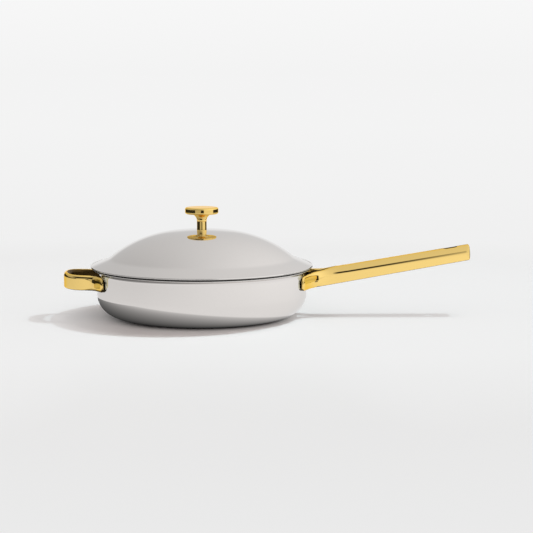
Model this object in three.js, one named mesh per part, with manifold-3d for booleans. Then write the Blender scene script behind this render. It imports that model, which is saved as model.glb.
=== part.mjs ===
// Frying pan with a domed lid: polished clad steel with gold-toned cast handles and knob.
// Millimetres, +Z up. The origin is the centre of the flat base, on the surface that the pan
// stands on, and +X runs along the long handle.
import * as THREE from 'three';
import { mergeVertices } from 'three/addons/utils/BufferGeometryUtils.js';
import Module from 'manifold-3d';

const wasm = await Module();
wasm.setup();

const radians = THREE.MathUtils.degToRad;
const lerp = THREE.MathUtils.lerp;

// Faceting
const TURN_STEPS = 60;
const SMALL_TURN_STEPS = 32;
const RIVET_TURN_STEPS = 16;
const CUTTER_TURN_STEPS = 144;
const CUTTER_MARGIN = 5;
const PAN_CORNER_STEPS = 6;
const LIP_FLARE_STEPS = 3;
const LIP_END_STEPS = 4;
const LID_CROWN_STEPS = 3;
const LID_HAUNCH_STEPS = 6;
const LID_FILLET_STEPS = 3;
const LID_BEAD_STEPS = 6;
const KNOB_NECK_STEPS = 6;
const KNOB_EDGE_STEPS = 3;
const SCREW_HEAD_STEPS = 4;
const RIVET_HEAD_STEPS = 5;
const PAD_STEPS = 5;
const SLOT_STEPS = 8;
const CROWN_STEPS = 6;
const GRIP_STEPS = 8;
const LEG_STEPS = 14;
const LOOP_BOW_STEPS = 9;
const LOOP_LEG_STEPS = 7;

// Pan: one drawn sheet, flat base, rounded corner, upright wall and a flared pouring lip
const PAN_WALL_RADIUS = 132.4;
const PAN_SHEET = 2.6;
const PAN_CORNER_RADIUS = 38;
const PAN_STRAIGHT_WALL = 21.3;
const LIP_FLARE_RADIUS = 3.2;
const LIP_FLARE_ANGLE = radians(80);
const LIP_REACH = 1.3;

// Lid: one pressed sheet, shallow crown, rounded haunch, sloping brim with a rolled edge
const LID_SHEET = 1.0;
const LID_SEAT_CLEARANCE = 0.1;
const LID_CROWN_SPHERE = 360;
const LID_CROWN_RADIUS = 36;
const LID_HAUNCH_SLOPE = radians(38.55);
const LID_HAUNCH_INSET = 21.1;
const LID_FILLET_ARC = 20;
const LID_BRIM_SLOPE = radians(22);
const LID_BRIM_OVERHANG = 1.3;
const LID_BEAD_RADIUS = 1.3;

// Knob: a turned head on a spacer tube, held by one screw from under the lid
const KNOB_STEM_RADIUS = 6.1;
const KNOB_STEM_LENGTH = 10.5;
const KNOB_NECK_LENGTH = 9.2;
const KNOB_NECK_STRAIGHT_SHARE = 0.5;
const KNOB_NECK_SWEEP_OUT = 0.4;
const KNOB_NECK_SWEEP_UP = 0.92;
const KNOB_DISC_OVERHANG = 7;
const KNOB_DISC_RADIUS = 21;
const KNOB_DISC_THICKNESS = 8.4;
const KNOB_EDGE_RADIUS = 1.4;
const STEM_CHAMFER = 0.35;
const SEAT_CLEARANCE = 0.03;
const SCREW_RADIUS = 2.5;
const SCREW_CLEARANCE = 0.35;
const SCREW_GRIP = 6.5;
const SCREW_HEAD_RADIUS = 4.8;
const SCREW_HEAD_HEIGHT = 3;
const BORE_END_CLEARANCE = 0.8;
const WASHER_RADIUS = 7.5;
const WASHER_THICKNESS = 1.2;
const WASHER_SEAT_CLEARANCE = 0.12;

// Both handles share one foot: a flare that lies along the wall and takes a flush rivet
const FOOT_GAP = 0.3;
const FOOT_SPREAD_ANGLE = radians(23.2);
const FOOT_PAD_LENGTH = 21.3;
const FOOT_PAD_THICKNESS = 4.4;
const FOOT_END_HALF = 2.2;
const FOOT_DROP = 21.8;
const FOOT_SIDE = 16;
const FOOT_CROWN = 1.6;
const FOOT_END_ROUND = 3;
const FOOT_BLEND_POWER = 2;
const SECTION_EDGE = 0.8;

// Long handle: a crowned grip that forks into two flared legs, with a hanging slot near its tip
const GRIP_REACH = 207.6;
const GRIP_FORK_REACH = 37.5;
const GRIP_HALF_WIDTH = 12.3;
const GRIP_BOTTOM_AT_FORK = 41.2;
const GRIP_RISE = 0.1704;
const GRIP_SIDE_AT_FORK = 14.1;
const GRIP_SIDE_AT_TIP = 11.6;
const GRIP_CROWN_AT_FORK = 6.7;
const GRIP_CROWN_AT_TIP = 7.4;
const GRIP_TIP_ROUND = 1.8;
const GRIP_TIP_EASE = 0.3;
const LEG_ROOT_INSET = 10;
const LEG_SIDE_INSET = 0.05;
const LEG_ROOT_CROWN = 5;
const LEG_ROOT_PULL = 30;
const LEG_FOOT_PULL = 40;
const LEG_TAPER_POWER = 2.5;
const SLOT_LENGTH = 19;
const SLOT_WIDTH = 9;
const SLOT_TO_TIP = 14;

// Helper handle: a loop of strap bent round for the other hand
const LOOP_REACH = 41.3;
const LOOP_FLARE = 16.44;
const LOOP_STRAP_HALF = 3.5;
const LOOP_SIDE = 15.2;
const LOOP_CROWN = 3.1;
const LOOP_RISE = 2.4;
const LOOP_STRAIGHT_REACH = 14;
const LOOP_BOW_PULL = 23;
const LOOP_CORNER_PULL = 16;
const LOOP_LEG_PULL = 10;
const LOOP_FOOT_PULL = 20;
const LOOP_TAPER_POWER = 4;

// Rivets: a low round head inside the pan and a countersunk tail, flush with the foot outside
const RIVET_TO_FOOT_END = 9;
const RIVET_SHANK_RADIUS = 3;
const RIVET_HEAD_RADIUS = 5.5;
const RIVET_HEAD_HEIGHT = 2.2;
const RIVET_HEAD_GAP = 0.2;
const RIVET_TAIL_RADIUS = 4.4;
const RIVET_SINK_START = 1.6;
const RIVET_SINK_LENGTH = 1.8;
const RIVET_CLEARANCE = 0.3;

// Derived places
const PAN_WALL_TOP = PAN_CORNER_RADIUS + PAN_STRAIGHT_WALL;
const PAN_INNER_RADIUS = PAN_WALL_RADIUS - PAN_SHEET;
const FOOT_BACK_RADIUS = PAN_WALL_RADIUS + FOOT_GAP;
const FOOT_BOTTOM = PAN_WALL_TOP - FOOT_DROP;
const FOOT_PAD_START_ANGLE = FOOT_SPREAD_ANGLE - FOOT_PAD_LENGTH / FOOT_BACK_RADIUS;
const LEG_ROOT_HALF = GRIP_HALF_WIDTH / 2 - LEG_SIDE_INSET;
const RIVET_ANGLE = FOOT_SPREAD_ANGLE - RIVET_TO_FOOT_END / FOOT_BACK_RADIUS;
const RIVET_HEIGHT = FOOT_BOTTOM + FOOT_SIDE / 2;
const LONG_HANDLE_RIVETS = [-RIVET_ANGLE, RIVET_ANGLE];
const HELPER_RIVETS = [Math.PI + RIVET_ANGLE, Math.PI - RIVET_ANGLE];
const LIP_END = lipEnd();
const LID = lidLayout();
const LID_APEX = LID.apex + LID_SHEET / 2;
const STEM_BOTTOM = LID_APEX + SEAT_CLEARANCE;
const HEAD_BOTTOM = STEM_BOTTOM + KNOB_STEM_LENGTH + SEAT_CLEARANCE;
const SCREW_HOLE_RADIUS = SCREW_RADIUS + SCREW_CLEARANCE;

// Materials
function polishedSteel() {
  return new THREE.MeshStandardMaterial({ color: 0xcfccc8, roughness: 0.12, metalness: 1 });
}

function polishedGold() {
  return new THREE.MeshStandardMaterial({ color: 0xdcb45f, roughness: 0.1, metalness: 1 });
}

function plainSteel() {
  return new THREE.MeshStandardMaterial({ color: 0xb4b2ae, roughness: 0.35, metalness: 1 });
}

// Points along an arc in a profile, from one angle to another
function arc(centre, radius, from, to, steps) {
  const points = [];
  for (let i = 0; i <= steps; i += 1) {
    const angle = lerp(from, to, i / steps);
    points.push(new THREE.Vector2(centre.x + radius * Math.cos(angle), centre.y + radius * Math.sin(angle)));
  }
  return points;
}

// Welds a geometry into one closed skin with its faces pointing out
function weld(geometry) {
  const bare = geometry.index ? geometry.toNonIndexed() : geometry.clone();
  bare.deleteAttribute('normal');
  bare.deleteAttribute('uv');
  const merged = mergeVertices(bare, 1e-4);
  const position = merged.getAttribute('position');
  const index = merged.getIndex().array;
  const corner = [new THREE.Vector3(), new THREE.Vector3(), new THREE.Vector3()];
  const faces = [];
  let volume = 0;
  for (let i = 0; i < index.length; i += 3) {
    const face = [index[i], index[i + 1], index[i + 2]];
    if (face[0] !== face[1] && face[1] !== face[2] && face[2] !== face[0]) {
      corner.forEach((point, k) => point.fromBufferAttribute(position, face[k]));
      volume += corner[0].dot(corner[1].clone().cross(corner[2]));
      faces.push(face);
    }
  }
  const outward = volume > 0 ? faces : faces.map(([a, b, c]) => [a, c, b]);
  merged.setIndex(outward.flat());
  return merged;
}

// Turns a closed geometry into a solid for joining and cutting
function solid(geometry) {
  const skin = weld(geometry);
  return new wasm.Manifold(new wasm.Mesh({
    numProp: 3,
    vertProperties: new Float32Array(skin.getAttribute('position').array),
    triVerts: new Uint32Array(skin.getIndex().array),
  }));
}

// Turns a joined or cut solid back into a geometry
function geometryOf(body) {
  const mesh = body.getMesh();
  const geometry = new THREE.BufferGeometry();
  geometry.setAttribute('position', new THREE.BufferAttribute(new Float32Array(mesh.vertProperties), 3));
  geometry.setIndex(new THREE.BufferAttribute(new Uint32Array(mesh.triVerts), 1));
  return geometry;
}

function named(name, geometry, material) {
  geometry.computeVertexNormals();
  const mesh = new THREE.Mesh(geometry, material);
  mesh.name = name;
  return mesh;
}

// Revolves a profile of radius and height about the Z axis
function revolve(profile, steps) {
  return new THREE.LatheGeometry(profile, steps).rotateX(Math.PI / 2);
}

// Revolves a profile about the X axis, with its height along +X
function revolveAlongX(profile, steps) {
  return new THREE.LatheGeometry(profile, steps).rotateZ(-Math.PI / 2);
}

// Skins a row of rings that have the same number of points, and closes both ends
function loft(rings) {
  const points = rings.flat();
  const count = rings[0].length;
  const faces = [];
  for (let ring = 0; ring + 1 < rings.length; ring += 1) {
    for (let i = 0; i < count; i += 1) {
      const a = ring * count + i;
      const b = ring * count + ((i + 1) % count);
      faces.push(a, b, b + count, a, b + count, a + count);
    }
  }
  const last = (rings.length - 1) * count;
  for (let i = 1; i + 1 < count; i += 1) {
    faces.push(0, i + 1, i);
    faces.push(last, last + i, last + i + 1);
  }
  return new THREE.BufferGeometry().setFromPoints(points).setIndex(faces).toNonIndexed();
}

// Strap section in a plane across its path: flat bottom, upright sides and a crowned top
function strapSection({ half, side, crown }) {
  const crownArc = (half * half + crown * crown) / (2 * crown);
  const crownCentre = new THREE.Vector2(0, side + crown - crownArc);
  const shoulder = Math.atan2(side - crownCentre.y, half);
  return [
    new THREE.Vector2(-half, SECTION_EDGE),
    new THREE.Vector2(SECTION_EDGE - half, 0),
    new THREE.Vector2(half - SECTION_EDGE, 0),
    new THREE.Vector2(half, SECTION_EDGE),
    ...arc(crownCentre, crownArc, shoulder, Math.PI - shoulder, CROWN_STEPS),
  ];
}

// Stands a strap section upright on a point of its path, square to the path's plan direction
function strapRing(place, direction, size) {
  const across = new THREE.Vector3(direction.y, -direction.x, 0).normalize();
  return strapSection(size).map((point) => place.clone()
    .addScaledVector(across, point.x)
    .add(new THREE.Vector3(0, 0, point.y)));
}

// Outer end of the pan's lip: the centre of its rounded edge
function lipEnd() {
  const middle = LIP_FLARE_RADIUS + PAN_SHEET / 2;
  const angle = Math.PI - LIP_FLARE_ANGLE;
  const along = new THREE.Vector2(Math.sin(angle), -Math.cos(angle));
  return new THREE.Vector2(PAN_WALL_RADIUS + LIP_FLARE_RADIUS, PAN_WALL_TOP)
    .add(new THREE.Vector2(Math.cos(angle), Math.sin(angle)).multiplyScalar(middle))
    .addScaledVector(along, LIP_REACH);
}

// One side of the pan's sheet, at an offset out from the middle of the sheet
function panSide(offset) {
  const corner = new THREE.Vector2(PAN_WALL_RADIUS - PAN_CORNER_RADIUS, PAN_CORNER_RADIUS);
  const flare = new THREE.Vector2(PAN_WALL_RADIUS + LIP_FLARE_RADIUS, PAN_WALL_TOP);
  const cornerArc = PAN_CORNER_RADIUS - PAN_SHEET / 2 + offset;
  const flareArc = LIP_FLARE_RADIUS + PAN_SHEET / 2 - offset;
  return [
    ...arc(corner, cornerArc, -Math.PI / 2, 0, PAN_CORNER_STEPS),
    ...arc(flare, flareArc, Math.PI, Math.PI - LIP_FLARE_ANGLE, LIP_FLARE_STEPS),
  ];
}

function panBody() {
  const half = PAN_SHEET / 2;
  const outward = Math.PI / 2 - LIP_FLARE_ANGLE;
  const profile = [
    new THREE.Vector2(0, 0),
    ...panSide(half),
    ...arc(LIP_END, half, outward - Math.PI / 2, outward + Math.PI / 2, LIP_END_STEPS),
    ...panSide(-half).reverse(),
    new THREE.Vector2(0, PAN_SHEET),
  ];
  const holeLength = PAN_SHEET + 2 * CUTTER_MARGIN;
  const hole = new THREE.CylinderGeometry(
    RIVET_SHANK_RADIUS + RIVET_CLEARANCE,
    RIVET_SHANK_RADIUS + RIVET_CLEARANCE,
    holeLength,
    RIVET_TURN_STEPS,
  ).rotateZ(Math.PI / 2).translate(PAN_INNER_RADIUS + PAN_SHEET / 2, 0, RIVET_HEIGHT);
  const punched = [...LONG_HANDLE_RIVETS, ...HELPER_RIVETS].reduce(
    (body, angle) => body.subtract(solid(hole.clone().rotateZ(angle))),
    solid(revolve(profile, TURN_STEPS)),
  );
  return named('pan_body', geometryOf(punched), polishedSteel());
}

// Middle line of the lid's sheet: the crown, haunch and fillet arcs meet in line, and the
// brim's slope rests on the pan's lip
function lidLayout() {
  const normal = new THREE.Vector2(Math.sin(LID_BRIM_SLOPE), Math.cos(LID_BRIM_SLOPE));
  const along = new THREE.Vector2(Math.cos(LID_BRIM_SLOPE), -Math.sin(LID_BRIM_SLOPE));
  const seat = LIP_END.clone()
    .addScaledVector(normal, PAN_SHEET / 2 + LID_SEAT_CLEARANCE + LID_SHEET / 2);
  const edge = seat.clone().addScaledVector(along, LID_BRIM_OVERHANG + LID_BEAD_RADIUS / 2);
  const crownSlope = Math.asin(LID_CROWN_RADIUS / LID_CROWN_SPHERE);
  const haunchRadius = LIP_END.x - LID_HAUNCH_INSET;
  const haunchRun = haunchRadius - LID_CROWN_RADIUS;
  const haunchArc = haunchRun / (Math.sin(LID_HAUNCH_SLOPE) - Math.sin(crownSlope));
  const filletRun = LID_FILLET_ARC * (Math.sin(LID_HAUNCH_SLOPE) - Math.sin(LID_BRIM_SLOPE));
  const brimStart = haunchRadius + filletRun;
  const brimStartHeight = seat.y + (seat.x - brimStart) * Math.tan(LID_BRIM_SLOPE);
  const filletCentre = new THREE.Vector2(brimStart, brimStartHeight)
    .addScaledVector(normal, LID_FILLET_ARC);
  const haunchNormal = new THREE.Vector2(Math.sin(LID_HAUNCH_SLOPE), Math.cos(LID_HAUNCH_SLOPE));
  const haunchCentre = filletCentre.clone()
    .addScaledVector(haunchNormal, -LID_FILLET_ARC - haunchArc);
  const crownNormal = new THREE.Vector2(Math.sin(crownSlope), Math.cos(crownSlope));
  const crownCentre = haunchCentre.clone()
    .addScaledVector(crownNormal, haunchArc - LID_CROWN_SPHERE);
  const apex = crownCentre.y + LID_CROWN_SPHERE;
  return { edge, crownSlope, haunchArc, filletCentre, haunchCentre, crownCentre, apex };
}

// One side of the lid's sheet from the screw hole to the brim, at an offset up from its middle
function lidSide(offset) {
  const up = Math.PI / 2;
  const holeSlope = Math.asin(SCREW_HOLE_RADIUS / (LID_CROWN_SPHERE + offset));
  const crownEnd = up - LID.crownSlope;
  const haunchEnd = up - LID_HAUNCH_SLOPE;
  const filletStart = 3 * up - LID_HAUNCH_SLOPE;
  const filletEnd = 3 * up - LID_BRIM_SLOPE;
  return [
    ...arc(LID.crownCentre, LID_CROWN_SPHERE + offset, up - holeSlope, crownEnd, LID_CROWN_STEPS),
    ...arc(LID.haunchCentre, LID.haunchArc + offset, crownEnd, haunchEnd, LID_HAUNCH_STEPS).slice(1),
    ...arc(LID.filletCentre, LID_FILLET_ARC - offset, filletStart, filletEnd, LID_FILLET_STEPS).slice(1),
  ];
}

function lidShell() {
  const half = LID_SHEET / 2;
  const join = Math.PI - Math.asin(half / LID_BEAD_RADIUS);
  const beadStart = join - LID_BRIM_SLOPE;
  const beadEnd = -join - LID_BRIM_SLOPE;
  const bead = arc(LID.edge, LID_BEAD_RADIUS, beadStart, beadEnd, LID_BEAD_STEPS);
  const profile = [...lidSide(half), ...bead, ...lidSide(-half).reverse()];
  profile.push(profile[0].clone());
  return named('lid_shell', weld(revolve(profile, TURN_STEPS)), polishedSteel());
}

function knobStem() {
  const top = STEM_BOTTOM + KNOB_STEM_LENGTH;
  const profile = [
    new THREE.Vector2(SCREW_HOLE_RADIUS, STEM_BOTTOM),
    new THREE.Vector2(KNOB_STEM_RADIUS, STEM_BOTTOM),
    new THREE.Vector2(KNOB_STEM_RADIUS, top - STEM_CHAMFER),
    new THREE.Vector2(KNOB_STEM_RADIUS - STEM_CHAMFER, top),
    new THREE.Vector2(SCREW_HOLE_RADIUS, top),
  ];
  profile.push(profile[0].clone());
  return named('knob_stem', weld(revolve(profile, SMALL_TURN_STEPS)), polishedGold());
}

function knobHead() {
  const discBottom = HEAD_BOTTOM + KNOB_NECK_LENGTH;
  const discTop = discBottom + KNOB_DISC_THICKNESS;
  const boreTop = HEAD_BOTTOM + SCREW_GRIP + BORE_END_CLEARANCE;
  const edge = KNOB_DISC_RADIUS - KNOB_EDGE_RADIUS;
  const neckStart = new THREE.Vector2(KNOB_STEM_RADIUS, HEAD_BOTTOM + STEM_CHAMFER);
  const neckEnd = new THREE.Vector2(KNOB_DISC_RADIUS - KNOB_DISC_OVERHANG, discBottom);
  const neck = new THREE.CubicBezierCurve(
    neckStart,
    new THREE.Vector2(neckStart.x, lerp(neckStart.y, neckEnd.y, KNOB_NECK_STRAIGHT_SHARE)),
    new THREE.Vector2(
      lerp(neckStart.x, neckEnd.x, KNOB_NECK_SWEEP_OUT),
      lerp(neckStart.y, neckEnd.y, KNOB_NECK_SWEEP_UP),
    ),
    neckEnd,
  );
  const lowerEdge = new THREE.Vector2(edge, discBottom + KNOB_EDGE_RADIUS);
  const upperEdge = new THREE.Vector2(edge, discTop - KNOB_EDGE_RADIUS);
  const profile = [
    new THREE.Vector2(0, boreTop),
    new THREE.Vector2(SCREW_HOLE_RADIUS, boreTop),
    new THREE.Vector2(SCREW_HOLE_RADIUS, HEAD_BOTTOM),
    new THREE.Vector2(KNOB_STEM_RADIUS - STEM_CHAMFER, HEAD_BOTTOM),
    ...neck.getPoints(KNOB_NECK_STEPS),
    ...arc(lowerEdge, KNOB_EDGE_RADIUS, -Math.PI / 2, 0, KNOB_EDGE_STEPS),
    ...arc(upperEdge, KNOB_EDGE_RADIUS, 0, Math.PI / 2, KNOB_EDGE_STEPS),
    new THREE.Vector2(0, discTop),
  ];
  return named('knob_head', weld(revolve(profile, SMALL_TURN_STEPS)), polishedGold());
}

// Top of the washer, under the hollow of the lid's crown
function washerTop() {
  const inner = LID_CROWN_SPHERE - LID_SHEET / 2;
  return LID.crownCentre.y + Math.sqrt(inner ** 2 - WASHER_RADIUS ** 2) - WASHER_SEAT_CLEARANCE;
}

function screwWasher() {
  const top = washerTop();
  const profile = [
    new THREE.Vector2(SCREW_HOLE_RADIUS, top - WASHER_THICKNESS),
    new THREE.Vector2(WASHER_RADIUS, top - WASHER_THICKNESS),
    new THREE.Vector2(WASHER_RADIUS, top),
    new THREE.Vector2(SCREW_HOLE_RADIUS, top),
  ];
  profile.push(profile[0].clone());
  return named('screw_washer', weld(revolve(profile, SMALL_TURN_STEPS)), plainSteel());
}

function knobScrew() {
  const headTop = washerTop() - WASHER_THICKNESS - SEAT_CLEARANCE;
  const headBottom = headTop - SCREW_HEAD_HEIGHT;
  const tip = HEAD_BOTTOM + SCREW_GRIP;
  const round = SCREW_HEAD_HEIGHT / 2;
  const roundCentre = new THREE.Vector2(SCREW_HEAD_RADIUS - round, headBottom + round);
  const profile = [
    new THREE.Vector2(0, headBottom),
    ...arc(roundCentre, round, -Math.PI / 2, 0, SCREW_HEAD_STEPS),
    new THREE.Vector2(SCREW_HEAD_RADIUS, headTop),
    new THREE.Vector2(SCREW_RADIUS, headTop),
    new THREE.Vector2(SCREW_RADIUS, tip - SCREW_CLEARANCE),
    new THREE.Vector2(SCREW_RADIUS - SCREW_CLEARANCE, tip),
    new THREE.Vector2(0, tip),
  ];
  return named('knob_screw', weld(revolve(profile, RIVET_TURN_STEPS)), plainSteel());
}

// The pan's round wall out to a radius, as a body for cutting and trimming
function wallCylinder(radius) {
  const height = PAN_WALL_TOP + 2 * CUTTER_MARGIN;
  const cylinder = new THREE.CylinderGeometry(radius, radius, height, CUTTER_TURN_STEPS);
  return solid(cylinder.rotateX(Math.PI / 2).translate(0, 0, height / 2 - CUTTER_MARGIN));
}

// Shank and countersunk tail of a rivet along +X, run out past the foot
function rivetShank(clearance, from) {
  const sink = FOOT_BACK_RADIUS + RIVET_SINK_START;
  const outer = sink + RIVET_SINK_LENGTH + 2 * CUTTER_MARGIN;
  return [
    new THREE.Vector2(RIVET_SHANK_RADIUS + clearance, from),
    new THREE.Vector2(RIVET_SHANK_RADIUS + clearance, sink),
    new THREE.Vector2(RIVET_TAIL_RADIUS + clearance, sink + RIVET_SINK_LENGTH),
    new THREE.Vector2(RIVET_TAIL_RADIUS + clearance, outer),
    new THREE.Vector2(0, outer),
  ];
}

// Stands a rivet's profile in its place on the wall
function rivetSolid(profile, angle) {
  return solid(revolveAlongX(profile, RIVET_TURN_STEPS).translate(0, 0, RIVET_HEIGHT).rotateZ(angle));
}

function rivetHole(angle) {
  const from = PAN_INNER_RADIUS;
  return rivetSolid([new THREE.Vector2(0, from), ...rivetShank(RIVET_CLEARANCE, from)], angle);
}

// A rivet whose tail is dressed flush with the foot that it holds
function rivet(name, angle, blank) {
  const seat = Math.sqrt(PAN_INNER_RADIUS ** 2 - RIVET_HEAD_RADIUS ** 2) - RIVET_HEAD_GAP;
  const dome = (RIVET_HEAD_RADIUS ** 2 + RIVET_HEAD_HEIGHT ** 2) / (2 * RIVET_HEAD_HEIGHT);
  const domeCentre = new THREE.Vector2(0, seat - RIVET_HEAD_HEIGHT + dome);
  const rim = Math.atan2(seat - domeCentre.y, RIVET_HEAD_RADIUS);
  const profile = [
    new THREE.Vector2(0, seat - RIVET_HEAD_HEIGHT),
    ...arc(domeCentre, dome, -Math.PI / 2, rim, RIVET_HEAD_STEPS).slice(1),
    ...rivetShank(0, seat),
  ];
  const inside = wallCylinder(FOOT_BACK_RADIUS + RIVET_SINK_START);
  const body = rivetSolid(profile, angle).intersect(blank.add(inside));
  return named(name, geometryOf(body), polishedGold());
}

// End of a foot on the wall, and the direction of the wall there, for a handle along +X
function footEnd() {
  const radius = FOOT_BACK_RADIUS + FOOT_END_HALF;
  const place = new THREE.Vector3(
    radius * Math.cos(FOOT_SPREAD_ANGLE),
    radius * Math.sin(FOOT_SPREAD_ANGLE),
    FOOT_BOTTOM,
  );
  const along = new THREE.Vector3(-Math.sin(FOOT_SPREAD_ANGLE), Math.cos(FOOT_SPREAD_ANGLE), 0);
  return { place, along };
}

// Rings of a strap along curves that meet end to end, with a size for each share of the way
function strapAlong(curves, sizeAt) {
  const stations = [];
  curves.forEach(({ curve, steps }, order) => {
    for (let i = order === 0 ? 0 : 1; i <= steps; i += 1) {
      stations.push({ place: curve.getPoint(i / steps), direction: curve.getTangent(i / steps) });
    }
  });
  const lengths = stations.map(({ place }, i) => (i ? place.distanceTo(stations[i - 1].place) : 0));
  const total = lengths.reduce((sum, length) => sum + length, 0);
  let walked = 0;
  return stations.map(({ place, direction }, i) => {
    walked += lengths[i];
    return strapRing(place, direction, sizeAt(walked / total));
  });
}

// The rounded end that closes a foot, one step past its last ring
function footTip({ place, along }, crown) {
  const size = { half: FOOT_END_HALF / 2, side: FOOT_SIDE - 2 * FOOT_END_ROUND, crown: crown / 2 };
  const tip = place.clone()
    .addScaledVector(along, FOOT_END_ROUND / 2)
    .add(new THREE.Vector3(0, 0, FOOT_END_ROUND));
  return strapRing(tip, along, size);
}

// The pad of a foot: a plate bent round the wall
function footPad() {
  const edge = SECTION_EDGE;
  const inner = FOOT_BACK_RADIUS - CUTTER_MARGIN / 2;
  const outer = FOOT_BACK_RADIUS + FOOT_PAD_THICKNESS - edge;
  const plate = new THREE.Shape();
  plate.absarc(0, 0, outer, FOOT_PAD_START_ANGLE, FOOT_SPREAD_ANGLE, false);
  plate.absarc(0, 0, inner, FOOT_SPREAD_ANGLE, FOOT_PAD_START_ANGLE, true);
  const bevel = { bevelEnabled: true, bevelSize: edge, bevelThickness: edge, bevelSegments: 1 };
  const depth = FOOT_SIDE - 2 * edge;
  const pad = new THREE.ExtrudeGeometry(plate, { depth, curveSegments: PAD_STEPS, ...bevel });
  return pad.translate(0, 0, FOOT_BOTTOM + edge);
}

// One leg of the fork, from inside the grip to its foot on the wall
function forkLeg() {
  const forkX = PAN_WALL_RADIUS + GRIP_FORK_REACH;
  const root = new THREE.Vector3(
    forkX + LEG_ROOT_INSET,
    LEG_ROOT_HALF,
    GRIP_BOTTOM_AT_FORK + LEG_ROOT_INSET * GRIP_RISE,
  );
  const foot = footEnd();
  const curve = new THREE.CubicBezierCurve3(
    root,
    root.clone().add(new THREE.Vector3(-LEG_ROOT_PULL, 0, -LEG_ROOT_PULL * GRIP_RISE)),
    foot.place.clone().addScaledVector(foot.along, -LEG_FOOT_PULL),
    foot.place,
  );
  const sizeAt = (share) => ({
    half: lerp(LEG_ROOT_HALF, FOOT_END_HALF, share ** LEG_TAPER_POWER),
    side: lerp(GRIP_SIDE_AT_FORK, FOOT_SIDE, share),
    crown: lerp(LEG_ROOT_CROWN, FOOT_CROWN, share ** FOOT_BLEND_POWER),
  });
  return loft([...strapAlong([{ curve, steps: LEG_STEPS }], sizeAt), footTip(foot, FOOT_CROWN)]);
}

// The grip, from the fork to its squared tip
function grip() {
  const along = new THREE.Vector3(1, 0, 0);
  const start = PAN_WALL_RADIUS + GRIP_FORK_REACH;
  const end = PAN_WALL_RADIUS + GRIP_REACH;
  const ringAt = (x, inset) => {
    const share = (x - start) / (end - start);
    const bottom = GRIP_BOTTOM_AT_FORK + (x - start) * GRIP_RISE + inset;
    return strapRing(new THREE.Vector3(x, 0, bottom), along, {
      half: GRIP_HALF_WIDTH - inset,
      side: lerp(GRIP_SIDE_AT_FORK, GRIP_SIDE_AT_TIP, share) - 2 * inset,
      crown: lerp(GRIP_CROWN_AT_FORK, GRIP_CROWN_AT_TIP, share),
    });
  };
  const rings = [];
  for (let i = 0; i <= GRIP_STEPS; i += 1) {
    rings.push(ringAt(lerp(start, end - GRIP_TIP_ROUND, i / GRIP_STEPS), 0));
  }
  const eased = GRIP_TIP_ROUND * GRIP_TIP_EASE;
  rings.push(ringAt(end - eased, eased));
  rings.push(ringAt(end, GRIP_TIP_ROUND));
  return loft(rings);
}

// Upright cutter for the hanging slot
function hangingSlot() {
  const half = SLOT_WIDTH / 2;
  const run = SLOT_LENGTH / 2 - half;
  const outline = new THREE.Shape();
  outline.absarc(run, 0, half, -Math.PI / 2, Math.PI / 2, false);
  outline.absarc(-run, 0, half, Math.PI / 2, 1.5 * Math.PI, false);
  const centre = PAN_WALL_RADIUS + GRIP_REACH - SLOT_TO_TIP - SLOT_LENGTH / 2;
  const lowest = GRIP_BOTTOM_AT_FORK;
  const depth = GRIP_REACH * GRIP_RISE + GRIP_SIDE_AT_FORK + GRIP_CROWN_AT_TIP;
  const slot = new THREE.ExtrudeGeometry(outline, { depth, bevelEnabled: false, curveSegments: SLOT_STEPS });
  return solid(slot.translate(centre, 0, lowest));
}

// Joins geometries with their mirror images across the handle's middle plane
function bothSides(geometries) {
  const mirrored = geometries.map((geometry) => geometry.clone().scale(1, -1, 1));
  return [...geometries, ...mirrored].map(solid).reduce((joined, next) => joined.add(next));
}

function longHandleBlank() {
  return bothSides([forkLeg(), footPad()])
    .add(solid(grip()))
    .subtract(wallCylinder(FOOT_BACK_RADIUS))
    .subtract(hangingSlot());
}

function drilled(name, blank, angles) {
  const body = angles.reduce((rest, angle) => rest.subtract(rivetHole(angle)), blank);
  return named(name, geometryOf(body), polishedGold());
}

// Half of the helper's loop, from the middle of its bow to its foot, as if along +X
function loopHalf() {
  const foot = footEnd();
  const bowX = PAN_WALL_RADIUS + LOOP_REACH - LOOP_STRAP_HALF;
  const side = foot.place.y - LOOP_FLARE;
  const straightX = PAN_WALL_RADIUS + LOOP_STRAIGHT_REACH;
  const bow = new THREE.Vector3(bowX, 0, FOOT_BOTTOM + LOOP_RISE);
  const straightRise = LOOP_RISE * (LOOP_STRAIGHT_REACH / LOOP_REACH);
  const shoulder = new THREE.Vector3(straightX, side, FOOT_BOTTOM + straightRise);
  const bend = new THREE.CubicBezierCurve3(
    bow,
    bow.clone().add(new THREE.Vector3(0, LOOP_BOW_PULL, 0)),
    shoulder.clone().add(new THREE.Vector3(LOOP_CORNER_PULL, 0, straightRise / 2)),
    shoulder,
  );
  const flare = new THREE.CubicBezierCurve3(
    shoulder,
    shoulder.clone().add(new THREE.Vector3(-LOOP_LEG_PULL, 0, -straightRise / 2)),
    foot.place.clone().addScaledVector(foot.along, -LOOP_FOOT_PULL),
    foot.place,
  );
  const sizeAt = (share) => ({
    half: lerp(LOOP_STRAP_HALF, FOOT_END_HALF, share ** LOOP_TAPER_POWER),
    side: lerp(LOOP_SIDE, FOOT_SIDE, share ** FOOT_BLEND_POWER),
    crown: lerp(LOOP_CROWN, FOOT_CROWN, share ** LOOP_TAPER_POWER),
  });
  const curves = [{ curve: bend, steps: LOOP_BOW_STEPS }, { curve: flare, steps: LOOP_LEG_STEPS }];
  return loft([...strapAlong(curves, sizeAt), footTip(foot, FOOT_CROWN)]);
}

function helperBlank() {
  return bothSides([loopHalf(), footPad()].map((geometry) => geometry.rotateZ(Math.PI)))
    .subtract(wallCylinder(FOOT_BACK_RADIUS));
}

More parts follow.
